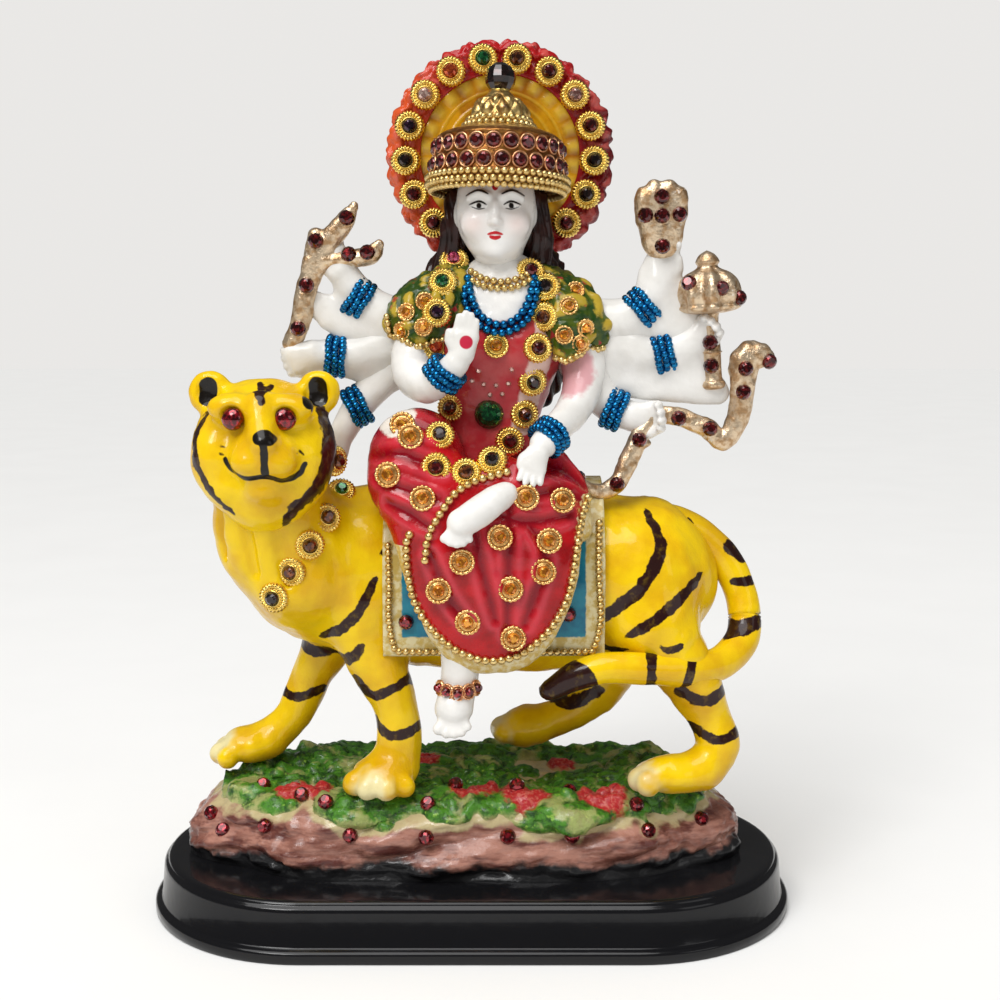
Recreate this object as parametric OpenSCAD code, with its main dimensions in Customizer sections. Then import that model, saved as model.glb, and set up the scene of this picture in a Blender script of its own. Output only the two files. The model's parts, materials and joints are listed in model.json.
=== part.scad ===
// Goddess seated on a tiger: a cast, painted and jewelled idol on a black plinth.
// The origin is the middle of the plinth's underside, +Z is up and -Y is the front.

/* [Plinth] */
// Length of the plinth over its foot flange
plinth_l = 156; // [150:1:200]
// Width of the plinth over its foot flange
plinth_w = 80; // [78:1:110]
// Height of the plinth
plinth_h = 13.2; // [9:0.2:20]
// Height of the foot flange
flange_h = 3; // [1:0.5:5]
// How far the foot flange stands out from the wall
flange_out = 1.7; // [0.5:0.1:4]
// Step between the wall and the raised top panel
top_step = 0.8; // [0.3:0.1:2]

/* [Ground] */
// Length of the rock slab
rock_l = 138; // [120:1:146]
// Width of the rock slab
rock_w = 56; // [48:1:64]
// Height of the rock slab above the plinth
rock_h = 18; // [16:0.5:22]
// Height of the moss above the rock
moss_h = 2; // [1:0.2:4]

/* [Tiger] */
// Height of the tiger's barrel
barrel_h = 45; // [38:1:48]
// Width of the tiger's barrel
barrel_w = 35; // [30:1:40]
// Radius of the tiger's head
tiger_head_r = 16; // [13:0.5:18]
// Radius of the tiger's legs at the paws' wrists
leg_r = 5; // [4:0.2:6.5]
// Radius of the tail at its root
tail_r = 5; // [4:0.2:6]

/* [Saddle cloth] */
// Length of the saddle cloth along the tiger
saddle_l = 51; // [44:1:56]
// Thickness of the saddle cloth
saddle_t = 2.2; // [1:0.1:3]
// Gap between the saddle cloth and the tiger
saddle_clear = 0.2; // [0.1:0.05:0.5]

/* [Figure] */
// Half width of the shoulders
shoulder_r = 17; // [14:0.5:19]
// Half width of the face
face_r = 9.3; // [8:0.1:10.5]
// Radius of an arm at its wrist
wrist_r = 3.4; // [2.6:0.1:4]

/* [Crown and halo] */
// Radius of the crown's band
crown_r = 15.2; // [13:0.1:16]
// Height of the crown's band
band_h = 9; // [7:0.5:12]
// Outer radius of the halo
halo_r = 27.4; // [25:0.2:32]
// Thickness of the halo's plate
halo_t = 4; // [3:0.2:6]
// Radius of the golden panel inside the halo
panel_r = 20; // [17:0.2:23]
// Gap around the golden panel in its recess
panel_clear = 0.1; // [0.05:0.05:0.4]
// Number of flowers round the halo
halo_flower_n = 14; // [10:1:16]

/* [Jewellery] */
// Diameter of a garland flower
flower_d = 7.2; // [6:0.1:8]
// Diameter of the gem in a garland flower
flower_gem_d = 3.5; // [2.5:0.1:4.5]
// Diameter of a skirt medallion
medal_d = 5.6; // [4.5:0.1:7]
// Diameter of the citrine in a medallion
medal_gem_d = 2.6; // [2:0.1:4]
// Diameter of a gold trim bead
bead_d = 1.6; // [1.2:0.1:2]
// Diameter of a blue necklace bead
blue_d = 2; // [1.6:0.1:2.4]
// Diameter of a red rhinestone
ruby_d = 3.8; // [3:0.1:4.6]

/* [Hidden] */
$fn = 32;

gold = "#d9b23c";
resin_white = "#f2f0ea";
tiger_yellow = "#f5d800";
ruby_red = "#8c1020";
bead_blue = "#1479b8";

rock_top = plinth_h + rock_h;
ground_c = [-1.5, 2];
// The tiger is drawn standing at stand_z, and the goddess sitting at seat_z
stand_z = 31.2;
seat_z = 104.9;
ground_lift = rock_top - stand_z;
// Middle of the tiger's barrel
barrel_c = [8, 0, 80];
saddle_x = 5.5;
// How far the saddle's outer face stands from the barrel's middle
saddle_out = saddle_clear + saddle_t;
seat_lift = ground_lift + barrel_c[2] + barrel_h / 2 + saddle_out - seat_z;
// Height of the saddle's hem, which hangs a set drop below the seat
saddle_drop = 39.4;
hem_z = barrel_c[2] + barrel_h / 2 + saddle_out - saddle_drop;
// Outer face of the near saddle flap, which the skirt hangs over
flap_y = -(barrel_w / 2 + saddle_out);
// The tiger's legs are drawn for this barrel width, and the arms for this shoulder
leg_barrel_w = 35;
drawn_flap_y = -19.9;
arm_shoulder_r = 17;
leg_out = (barrel_w - leg_barrel_w) / 2;
arm_out = shoulder_r - arm_shoulder_r;
// Centres of the tiger's head, the goddess's crown and the halo
tiger_head_c = [-46, -22.6, 115.5];
crown_c = [6.4, -4, 173];
halo_c = [6.8, crown_c[1] + crown_r + 0.8, 180.4];
crown_tilt = 3;

// Everything that the tiger carries up, and everything that sits on its saddle
module on_ground() translate([0, 0, ground_lift]) children();
module on_saddle() translate([0, 0, seat_lift]) children();

// ---- Curves and lofts ----

// Catmull-Rom value between b and c
function spline(a, b, c, d, t) =
    0.5 * (2 * b + (c - a) * t + (2 * a - 5 * b + 4 * c - d) * t * t
    + (3 * b - a - 3 * c + d) * t * t * t);

// A list of points or sizes, with each gap filled by n steps of a smooth curve
function smooth(list, n) =
    let (last = len(list) - 1)
    [for (i = [0 : last - 1], k = [0 : n - 1])
        spline(list[max(i - 1, 0)], list[i], list[i + 1], list[min(i + 2, last)], k / n),
     list[last]];

function unit(v) = v / norm(v);

function tangent(path, i) =
    unit(path[min(i + 1, len(path) - 1)] - path[max(i - 1, 0)]);

// Points of one elliptical ring; the first size lies across ref, the second along it
function ring(centre, dir, size, sides, ref) =
    let (across = unit(cross(ref, dir)), along = cross(dir, across))
    [for (k = [0 : sides - 1])
        let (a = 360 * k / sides)
        centre + across * size[0] * cos(a) + along * size[1] * sin(a)];

// Closed skin over a stack of rings that all have the same number of points
module skin(rings) {
    sides = len(rings[0]);
    count = len(rings);
    walls = [for (i = [0 : count - 2], k = [0 : sides - 1], half = [0, 1])
        let (n = (k + 1) % sides, lo = i * sides, hi = lo + sides)
        half == 0 ? [lo + k, hi + k, hi + n] : [lo + k, hi + n, lo + n]];
    first = [[for (k = [0 : sides - 1]) k]];
    last = [[for (k = [sides - 1 : -1 : 0]) (count - 1) * sides + k]];
    polyhedron([for (r = rings) each r], concat(walls, first, last), convexity = 6);
}

// Smooth limb along hand-set points, with an elliptical size at each point
module limb(points, sizes, sides = 12, steps = 3, ref = [0, 1, 0]) {
    path = smooth(points, steps);
    girth = smooth(sizes, steps);
    skin([for (i = [0 : len(path) - 1])
        ring(path[i], tangent(path, i), girth[i], sides, ref)]);
}

// Stack of level ellipses; each row is [x, y, z, half width, half depth]
module stack(rows, sides = 24) {
    skin([for (r = rows)
        [for (k = [0 : sides - 1])
            let (a = 360 * k / sides)
            [r[0] + r[3] * cos(a), r[1] + r[4] * sin(a), r[2]]]]);
}

// Row of a stack at height z, blended from its neighbours
function row_at(rows, z) =
    let (last = len(rows) - 1,
         i = max([0, for (j = [0 : last - 1]) if (rows[j][2] <= z) j]),
         t = min(1, max(0, (z - rows[i][2]) / (rows[i + 1][2] - rows[i][2]))))
    rows[i] + (rows[i + 1] - rows[i]) * t;

// Place on the front of a stack at x and z, standing out from it by d
function on_front(rows, x, z, d) =
    let (r = row_at(rows, z), share = min(0.94, max(-0.94, (x - r[0]) / r[3])))
    [r[0] + r[3] * share, r[1] - r[4] * sqrt(1 - share * share) - d, z];

// Points a fixed step apart along a smooth curve
function chain(points, pitch) =
    let (path = smooth(points, 8),
         gaps = [for (i = [0 : len(path) - 2]) norm(path[i + 1] - path[i])],
         run = [for (i = 0, s = 0; i < len(path); s = s + (i < len(gaps) ? gaps[i] : 0), i = i + 1) s],
         total = run[len(run) - 1],
         count = floor(total / pitch))
    [for (k = [0 : count])
        let (s = total * k / count,
             i = max([for (j = [0 : len(run) - 2]) if (run[j] <= s) j]))
        path[i] + (path[i + 1] - path[i]) * (s - run[i]) / (run[i + 1] - run[i])];

// Turns a piece's +Z to point along dir
module aim(dir) {
    flat = norm([dir[0], dir[1]]);
    rotate([0, atan2(flat, dir[2]), atan2(dir[1], dir[0])]) children();
}

module beads(points, d) {
    for (p = points)
        translate(p) sphere(d = d);
}

// Half-ball stone on a surface, facing dir; rows are [place, dir]
module stones(rows, d) {
    for (r = rows)
        translate(r[0]) aim(r[1]) intersection() {
            sphere(d = d);
            translate([0, 0, d * 0.3]) cube([2 * d, 2 * d, d], center = true);
        }
}

// Round gold setting with a raised inner collar
module settings(rows, d, gem_d) {
    for (r = rows)
        translate(r[0]) aim(r[1]) {
            cylinder(d = d, h = d * 0.14);
            cylinder(d = gem_d + 1.2, h = d * 0.2);
        }
}

// Faceted gem that sits on a setting of the same rows
module gems(rows, d, gem_d) {
    for (r = rows)
        translate(r[0]) aim(r[1]) translate([0, 0, d * 0.2])
            cylinder(d1 = gem_d, d2 = gem_d * 0.6, h = gem_d * 0.3);
}

// ---- Plinth and ground ----

module stadium(l, w, h) {
    linear_extrude(h) union() {
        square([l - w, w], center = true);
        for (s = [-1, 1])
            translate([s * (l - w) / 2, 0]) circle(d = w, $fn = 96);
    }
}

module plinth() {
    step = 2 * flange_out;
    lip = step + 2 * top_step;
    lip_h = 1;
    color("#111111") union() {
        stadium(plinth_l, plinth_w, flange_h);
        stadium(plinth_l - step, plinth_w - step, plinth_h - lip_h);
        stadium(plinth_l - lip, plinth_w - lip, plinth_h);
    }
}

// Radius of the rock's broken outline in direction a
function rock_edge(a) =
    (1 + 0.012 * sin(7 * a + 40) + 0.01 * sin(13 * a))
    / pow(pow(abs(cos(a)), 3) + pow(abs(sin(a)), 3), 1 / 3);

// Ring of the ground at height z, shrunk by k from the full outline
function ground_ring(z, k, l, w) =
    [for (i = [0 : 47])
        let (a = 360 * i / 48, r = k * rock_edge(a) / 2)
        [ground_c[0] + l * r * cos(a), ground_c[1] + w * r * sin(a), z]];

module ground_rock() {
    // Heights as shares of the slab's height, with the outline's scale
    rows = [[0, 0.96], [0.18, 0.99], [0.4, 0.985], [0.66, 0.95], [0.86, 0.89], [1, 0.78]];
    color("#9a6660")
        skin([for (r = rows) ground_ring(plinth_h + rock_h * r[0], r[1], rock_l, rock_w)]);
}

module ground_moss() {
    rows = [[0, 0.76], [0.55, 0.75], [1, 0.66]];
    color("#2f7a22")
        skin([for (r = rows) ground_ring(rock_top + moss_h * r[0], r[1], rock_l, rock_w)]);
}

// Front of the ground's outline at x, where the outline is shrunk by k
function ground_front(x, k) =
    ground_c[1] - k * rock_w / 2 * pow(1 - pow(abs(x - ground_c[0]) / (k * rock_l / 2), 3), 1 / 3);

module ground_stones() {
    front = [0, -0.8, 0.6];
    // Row along the rock's front face, then the row on the moss behind its front edge
    low = [for (x = [-48, -28, -9, 9, 25, 41, 52])
        [[x, ground_front(x, 0.955), plinth_h + rock_h * 0.55], front]];
    high = [for (p = [[-40, 0.58], [-33, 0.64], [-10, 0.6], [-3, 0.4], [11, 0.6], [24, 0.42], [38, 0.66]])
        [[p[0], ground_c[1] - p[1] * rock_w / 2, rock_top + moss_h - 0.3], [0, -0.3, 1]]];
    color(ruby_red) stones(concat(low, high), ruby_d);
}

// ---- Tiger ----

module tiger_body() {
    hh = barrel_h / 2;
    hw = barrel_w / 2;
    color(tiger_yellow) on_ground() limb(
        [[-50, -6, 84], [-46, -5, 84], [-38, -3, 83], [-24, 0, 81.5], [8, 0, barrel_c[2]],
         [32, 0, 79.5], [43, 0, 80], [49.5, 0, 81], [53, 0, 82]],
        [[5, 5], [11, 9], [hh - 5, hw - 3], [hh - 0.5, hw], [hh, hw],
         [hh - 1, hw], [hh - 4, hw - 2], [12, 10], [4, 4]],
        sides = 24, steps = 2);
}

module tiger_neck() {
    color(tiger_yellow) on_ground() limb(
        [[-33, -7, 80], [-39, -10, 86], [-44, -14, 94], [-46, -18, 103], [-46, -20, 112]],
        [[15, 12], [16.5, 13.5], [15.5, 13], [14, 12.5], [11, 11]],
        sides = 20, steps = 2);
}

module tiger_head() {
    r = tiger_head_r;
    c = tiger_head_c;
    // Rings run forward from the nape to the muzzle
    rows = [[13, 2, 0.35], [11, 2, 0.68], [5, 2, 0.94], [-1, 1, 1], [-6, 0, 0.96],
            [-10, -3, 0.76], [-13, -5, 0.56], [-15.5, -5.5, 0.46], [-17, -5, 0.3]];
    color(tiger_yellow) on_ground() skin([for (q = rows)
        [for (k = [0 : 23])
            let (a = 360 * k / 24)
            c + [r * q[2] * cos(a), q[0], q[1] + r * 0.88 * q[2] * sin(a)]]]);
}

module tiger_ears() {
    color(tiger_yellow) on_ground() for (s = [-1, 1])
        translate(tiger_head_c + [12.2 * s, 3, 11.4]) rotate([90, 0, 0]) {
            cylinder(r = 3.9, h = 4, center = true);
            translate([0, 0, 1.6]) sphere(r = 2.9);
        }
}

module tiger_eyes() {
    color(ruby_red) on_ground() for (s = [-1, 1])
        translate(tiger_head_c + [5.6 * s, -11.3, 5.6]) sphere(d = 5);
}

module tiger_front_leg_near() {
    r = leg_r;
    color(tiger_yellow) on_ground() translate([0, -leg_out, 0]) limb(
        [[-27, -10, 84], [-25, -12, 74], [-22, -13, 64], [-18.5, -14, 54], [-17, -14, 46],
         [-17.5, -14, 39], [-19.5, -15.5, 34.5], [-20.5, -16.5, 32.2]],
        [[9, 6], [9, 6.5], [r + 2, r + 1], [r + 0.4, r], [r, r], [r + 0.6, r + 1],
         [r + 3.5, r + 3], [r + 3, r + 2.5]]);
}

module tiger_front_leg_far() {
    r = leg_r;
    color(tiger_yellow) on_ground() translate([0, leg_out, 0]) limb(
        [[-32, 8, 84], [-33, 8, 74], [-36, 8, 64], [-40, 8, 53], [-45, 7, 43],
         [-50, 6, 38.5], [-56, 5, 36], [-61, 4, 36]],
        [[8, 6], [8, 6], [r + 2, r + 1], [r + 0.4, r], [r, r], [r, r + 0.6], [r, r + 1.4], [2.4, 3.4]]);
}

module tiger_hind_leg_near() {
    r = leg_r;
    color(tiger_yellow) on_ground() translate([0, -leg_out, 0]) limb(
        [[40, -9, 84], [41, -11, 76], [45, -12, 66], [52.5, -12, 57], [57, -12, 48],
         [58, -13, 40.5], [54, -14.5, 36], [46, -16.5, 34.8], [40.5, -18, 34.6]],
        [[11, 6], [11.5, 7], [9, 6.5], [r + 1.4, r + 0.6], [r, r], [r + 1, r],
         [r, r + 0.8], [r - 0.8, r + 1], [2.2, 3]]);
}

module tiger_hind_leg_far() {
    r = leg_r;
    color(tiger_yellow) on_ground() translate([0, leg_out, 0]) limb(
        [[42, 8, 78], [39, 9, 68], [37, 10, 58], [33, 10.5, 50], [28, 11, 43],
         [22, 11, 38.5], [15, 10.5, 37], [10, 10, 37]],
        [[11, 6], [10, 6.5], [8, 6], [r + 1, r + 0.4], [r, r], [r, r], [r - 0.4, r + 0.4], [2.4, 3]]);
}

module tiger_tail() {
    r = tail_r;
    color(tiger_yellow) on_ground() translate([0, -leg_out, 0]) limb(
        [[47, 2, 94], [55, 2, 91], [62, 1.5, 84], [66, 0, 75], [65.5, -4, 66.5], [60, -10, 62],
         [51, -17, 61.5], [41, -21.5, 62.5], [31, -23, 63], [23, -22.5, 60.5], [17, -21.5, 57.5]],
        [[r, r], [r - 0.4, r - 0.4], [r - 0.8, r - 0.8], [r - 0.8, r - 0.8], [r - 0.6, r - 0.6],
         [r - 0.6, r - 0.6], [r - 0.6, r - 0.6], [r - 0.8, r - 0.8], [r - 1, r - 1], [3.6, 3.6], [2, 2]],
        sides = 10, steps = 3, ref = [0, 0.5, 1]);
}

function tiger_garland_rows() =
    let (path = chain([[-30, -18, 109.4], [-32.4, -19.4, 102.5], [-37, -23.2, 92.5], [-43, -18.8, 82.5]],
                      flower_d * 0.94))
    [for (p = path) [p, [0.35, -1, 0.1]]];

module tiger_garland_flowers() {
    color(gold) on_ground() settings(tiger_garland_rows(), flower_d, flower_gem_d);
}

module tiger_garland_gems() {
    color("#5a2408") on_ground() gems(tiger_garland_rows(), flower_d, flower_gem_d);
}

// ---- Saddle cloth ----

// Arch outline round the barrel, grown by g and cut off level at the hem
function arch(g, foot) =
    let (w = barrel_w / 2 + g, h = barrel_h / 2 + g)
    concat([[w, foot - barrel_c[2]]],
           [for (a = [0 : 7.5 : 180]) [w * cos(a), h * sin(a)]],
           [[-w, foot - barrel_c[2]]]);

module saddle_cloth() {
    color("#1c86a8")
        on_ground() translate([saddle_x - saddle_l / 2, 0, barrel_c[2]]) rotate([90, 0, 90])
        linear_extrude(saddle_l) difference() {
            polygon(arch(saddle_out, hem_z));
            polygon(arch(saddle_clear, hem_z - 1));
        }
}

module saddle_beads() {
    y = -flap_y + bead_d * 0.35;
    half = saddle_l / 2 - bead_d / 2;
    hem = hem_z + 1;
    // Both flaps: down each edge and along the hem
    color(gold) on_ground() for (s = [-1, 1]) {
        for (x = [-half, half])
            beads(chain([[saddle_x + x, s * y, hem + 15.5], [saddle_x + x, s * y, hem]], bead_d), bead_d);
        beads(chain([[saddle_x - half + bead_d, s * y, hem], [saddle_x + half - bead_d, s * y, hem]],
                    bead_d * 1.5), bead_d);
    }
}

module saddle_stones() {
    color(ruby_red) on_ground() stones([for (x = [-1, 1])
        [[saddle_x + x * (saddle_l / 2 - 6), flap_y, hem_z + 6.5], [0, -1, 0]]], ruby_d);
}

// ---- Skirt and feet ----

// The skirt hangs in front of the saddle's near flap and spreads over the lap
function skirt_rows() =
    let (f = flap_y)
    [[4.6, f - 6.6, 64.5, 6, 1.6], [6.4, f - 6.6, 67, 11, 2.6], [7, f - 6.1, 72, 14, 3.6],
     [7.4, f - 5.5, 80, 17, 4.6], [7.4, f - 4.1, 89, 18.6, 6.2], [5.4, f / 2 - 9, 97, 22, 1 - f / 2],
     [3.6, f / 2 - 4, 103, 26, 5 - f / 2], [3.2, -12, 108, 26.5, 15], [2.6, -11, 114, 23, 13],
     [3, -7, 119, 16, 9], [4, -4, 122, 10, 7]];

module skirt() {
    color("#c8143c") on_saddle() stack(skirt_rows(), sides = 28);
}

// Points on the skirt's front; each is [x, z]
function on_skirt(points, d) = [for (p = points) on_front(skirt_rows(), p[0], p[1], d)];

module skirt_hem_beads() {
    hem = [[-9.8, 92], [-8.8, 84], [-6.4, 76], [-1.6, 69.6], [6, 66.6], [13.6, 69.6], [18.6, 76],
           [22.6, 84], [25, 92], [27, 99]];
    inner = [[12, 109], [3, 106], [-4, 101], [-8.5, 94]];
    color(gold) on_saddle() {
        beads(chain(on_skirt(hem, bead_d * 0.15), bead_d * 1.25), bead_d);
        beads(chain(on_skirt(inner, bead_d * 0.15), bead_d * 1.25), bead_d);
    }
}

function medallion_rows() =
    [for (p = on_skirt([[-15.6, 118], [-13, 115], [-18, 108], [-10, 102], [13, 102.5], [21, 101], [7, 94],
                        [17.5, 92.5], [-1.5, 88], [-6.7, 82], [16.5, 85.5], [9.3, 82], [0, 75.5],
                        [9.8, 72]], -0.5))
        [p, [0, -1, 0.12]]];

module skirt_medallions() {
    color(gold) on_saddle() settings(medallion_rows(), medal_d, medal_gem_d);
}

module skirt_citrines() {
    color("#e0941c") on_saddle() gems(medallion_rows(), medal_d, medal_gem_d);
}

module crossed_foot() {
    color(resin_white) on_saddle() translate([0, flap_y - drawn_flap_y, 0]) limb(
        [[12, -27.5, 107], [7, -29.5, 104.5], [2, -31.5, 101], [-3, -32.5, 97], [-5.5, -32.5, 94.5]],
        [[2, 2], [3.4, 3.2], [3.6, 3.2], [3.8, 2.8], [2.4, 1.6]]);
}

module hanging_foot() {
    color(resin_white) on_saddle() translate([0, flap_y - drawn_flap_y, 0]) limb(
        [[-2, -24, 70], [-2, -24, 64], [-2.4, -24.4, 59], [-3.6, -26, 55], [-4.4, -28, 51.6],
         [-4.8, -29, 49.4]],
        [[5, 4.4], [4.6, 4.2], [4.4, 4.2], [5, 4.2], [5, 3.4], [3, 2]]);
}

// Ankle's middle, which the anklet goes round
ankle_c = [-2.3, flap_y - 4.4, 60.4];
anklet_r = 5.4;
anklet_w = 3;

module anklet() {
    inner_r = 4.1;
    color(gold) on_saddle() translate(ankle_c) rotate_extrude()
        translate([inner_r, -anklet_w / 2]) square([anklet_r - inner_r, anklet_w]);
}

module anklet_stones() {
    rows = [for (a = [-64 : 32 : 64])
        [ankle_c + anklet_r * [sin(a), -cos(a), 0], [sin(a), -cos(a), 0]]];
    color(ruby_red) on_saddle() stones(rows, anklet_w - 0.4);
}

// ---- Figure ----

function torso_rows() =
    let (s = shoulder_r)
    [[4, -3, 108, s - 3, 9], [4.4, -3, 114, s - 4.6, 8.6], [4.8, -3, 119, s - 5.4, 8.4],
     [5.6, -2.6, 127, s - 3.6, 9.6], [6.6, -2.4, 135, s - 1.4, 10.4], [7.6, -1.6, 142, s, 9],
     [8, -1.2, 146.5, s - 4, 7.4], [8, -1.4, 149, 8, 6]];

module torso() {
    color("#c0224a") on_saddle() stack(torso_rows());
}

module head() {
    f = face_r;
    color(resin_white) on_saddle() stack([
        [8, -2, 147, 6, 5.6], [7.8, -2.6, 150, 4.8, 4.8], [7.2, -3.4, 154, 4.8, 5],
        [6.4, -5, 156.4, f * 0.55, 6.4], [6, -4.8, 159, f * 0.78, 8.2], [5.8, -4.4, 163, f * 0.96, 9.4],
        [5.8, -4.2, 167.5, f, 10], [6, -4, 172, f * 0.97, 10], [6.2, -3.6, 176.5, f * 0.84, 8.6],
        [6.4, -3, 180, f * 0.5, 5]]);
}

module hair() {
    color("#1c120e") on_saddle() stack([
        [8, 9, 124, 8, 1.6], [8, 8.6, 130, 15, 2.8], [7, 8, 138, 20, 3.4], [6, 7, 146, 20.5, 4],
        [5.8, 5.4, 153, 17, 4.8], [6, 4, 160, 13.4, 5.6], [6.2, 3.6, 167, 12.2, 6.4],
        [6.3, 3.2, 173, 11, 6.6], [6.4, 3, 178, 7, 5]]);
}

// Arm on side -1 or 1, from the shoulder to the finger tips;
// the girth tapers to the wrist and flattens in the hand
module arm(side, points) {
    w = wrist_r;
    count = len(points);
    color(resin_white) on_saddle() translate([side * arm_out, 0, 0]) limb(points,
        [for (i = [0 : count - 1])
            i == 0 ? [w + 2.4, w + 2.2]
            : i < count - 3 ? [w + 1.2, w + 1]
            : i == count - 3 ? [w, w * 0.94]
            : i == count - 2 ? [w * 1.2, w * 0.8]
            : [w * 0.5, w * 0.35]]);
}

module arm_front_right() {
    arm(-1, [[-8, -3, 143], [-12, -7, 134], [-13, -10, 128.5], [-8, -16, 128.6], [-3.6, -20, 133],
             [-1.4, -20.5, 139], [-0.6, -20.5, 145.5]]);
}

module arm_upper_right() {
    arm(-1, [[-8, -1, 143], [-15, -2, 141.5], [-21.5, -3, 143.6], [-26, -4, 148], [-29, -4.6, 154],
             [-31, -5, 160]]);
}

module arm_middle_right() {
    arm(-1, [[-8, 0, 140], [-17, -1, 137], [-25, -3, 134.2], [-32, -4, 133.6], [-38, -4.4, 134.6],
             [-43, -5, 136.6]]);
}

module arm_lower_right() {
    arm(-1, [[-8, 1, 138], [-16, 0, 133], [-22, -1, 127.4], [-27, -2, 121.4], [-30, -3, 116.4],
             [-32, -4, 111]]);
}

module arm_front_left() {
    arm(1, [[24, -2, 141], [28, -4, 132], [28.4, -6, 124.6], [23, -12, 119.6], [17.4, -17, 117],
            [14.6, -21.5, 112], [13, -24, 107.5]]);
}

module arm_upper_left() {
    arm(1, [[24, -1, 143], [31, -2.4, 142.4], [36.6, -3.4, 143.6], [41, -4, 147], [44.6, -4.4, 153],
            [45.6, -5, 159.6]]);
}

module arm_middle_left() {
    arm(1, [[24, 0, 140], [33, -1.4, 137.4], [40, -3, 134.6], [46, -4, 134.2], [51, -4.4, 136.6],
            [56, -5, 140.4]]);
}

module arm_lower_left() {
    arm(1, [[24, 1, 137], [27.6, -1, 130.6], [31, -3, 125], [35, -4, 120.6], [39.4, -5, 117.4],
            [44, -6, 115.6]]);
}

// Side of the body that a place is on
function arm_side(p) = sign(p[0] - 7);

// Each bracelet is three strands round a wrist; rows are [place, dir along the wrist]
function bracelet_rows() =
    [[[-5.8, -18.2, 130.4], [0.55, -0.4, 0.6]], [[-26.2, -4, 148], [-0.5, -0.1, 0.8]],
     [[-31.6, -4, 133.6], [-1, 0, 0.1]], [[-27.2, -2, 121.6], [-0.6, -0.1, -0.8]],
     [[17, -17.4, 116.6], [-0.5, -0.6, -0.6]], [[41, -4, 147], [0.5, 0, 0.8]],
     [[45.6, -4, 134.2], [1, 0, 0.1]], [[34.6, -4, 121], [0.7, -0.2, -0.6]]];

module bracelets() {
    color(bead_blue) on_saddle() for (r = bracelet_rows())
        translate(r[0] + [arm_side(r[0]) * arm_out, 0, 0]) aim(r[1]) for (k = [-1, 0, 1])
            translate([0, 0, k * blue_d * 0.9]) rotate_extrude($fn = 24)
                translate([wrist_r + 0.7, 0]) circle(d = blue_d, $fn = 16);
}

module shawl() {
    s = shoulder_r;
    // Hangs over both shoulders and meets behind the neck
    color("#6d7a1e") on_saddle() for (side = [-1, 1]) limb(
        [[7 + side * 5, 4, 151], [7 + side * 11, 1, 149.5], [7 + side * 16.5, -2, 146],
         [7 + side * (s + 4), -4, 141], [7 + side * (s + 7.4), -4, 137]],
        [[2.4, 6], [3, 9], [3.4, 10.4], [3, 8.4], [1.6, 5]],
        sides = 16, steps = 2);
}

// Points that move out with the shoulder that they lie on
function on_shoulder(points) = [for (p = points) p + [arm_side(p) * arm_out, 0, 0]];

module shawl_beads() {
    left = [[-16.9, -7, 142], [-16.4, -9.6, 139.8], [-13, -11, 138.8], [-11.7, -10.2, 139.8]];
    right = [[30, -8.6, 138], [27.6, -9.6, 137.4], [26.4, -9.8, 138.2], [25.4, -9.6, 139.6]];
    color(gold) on_saddle() {
        beads(chain(on_shoulder(left), bead_d), bead_d);
        beads(chain(on_shoulder(right), bead_d), bead_d);
    }
}

module shawl_medallions() {
    places = [[-14, -11.4, 143.6], [-10.6, -11.6, 140.4], [-15.6, -10.6, 139.4], [-10, -11, 146.6],
              [23.4, -10.6, 143.6], [26.6, -10.6, 140.4], [23.4, -10, 141], [27, -9.6, 136.8]];
    rows = [for (p = on_shoulder(places)) [p, [arm_side(p) * 0.35, -1, 0.2]]];
    color("#c98a1e") on_saddle() settings(rows, 4.4, 2.2);
}

// ---- Things held in the hands ----

module trident() {
    color("#d8c090") on_saddle() translate([-arm_out, 0, 0]) {
        limb([[-41.5, -6, 131], [-39, -6, 142], [-36.4, -6, 150], [-33.4, -6.4, 156],
              [-30, -6.8, 162], [-27.4, -7, 169]],
             [[2, 1.6], [2.2, 1.8], [2.2, 1.8], [2.6, 2], [2.2, 1.8], [1.2, 1]], sides = 10);
        limb([[-34.8, -6.4, 153], [-36.4, -6.2, 157], [-35.6, -6.2, 162.4]],
             [[1.8, 1.6], [2, 1.6], [1.2, 1]], sides = 10);
        limb([[-34, -6.4, 154], [-29, -6.2, 154.6], [-23.6, -6.2, 154.8], [-21.4, -6.2, 159]],
             [[1.8, 1.6], [1.8, 1.6], [1.8, 1.6], [1.2, 1]], sides = 10);
    }
}

module lotus() {
    // Oval bloom, wider than deep, on a short stem
    wide = 12.6;
    tall = 18;
    thick = 4;
    outline = [for (k = [0 : 39])
        let (a = 9 * k, lobe = 1 + 0.05 * cos(6 * a))
        [wide / 2 * lobe * cos(a), tall / 2 * lobe * sin(a)]];
    color("#e0c8a8") on_saddle() translate([43.8 + arm_out, -5.6, 165.4]) rotate([90, 0, 0])
        linear_extrude(thick, center = true) polygon(outline);
}

module mace() {
    grip_r = 1.7;
    // Half profile from the butt of the grip to the crown of the head
    profile = [[0, 0], [grip_r + 0.6, 0], [grip_r + 0.6, 1.6], [grip_r, 2.2], [grip_r, 17],
               [4.6, 18.2], [6.8, 20.6], [7.4, 23.4], [6.6, 26.4], [4, 28.4],
               [2.4, 29], [2.6, 30.2], [1.6, 31.4], [0, 31.8]];
    color("#d2ac74") on_saddle() translate([57 + arm_out, -6, 126]) rotate([0, -4, 0])
        rotate_extrude($fn = 40) polygon(profile);
}

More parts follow.
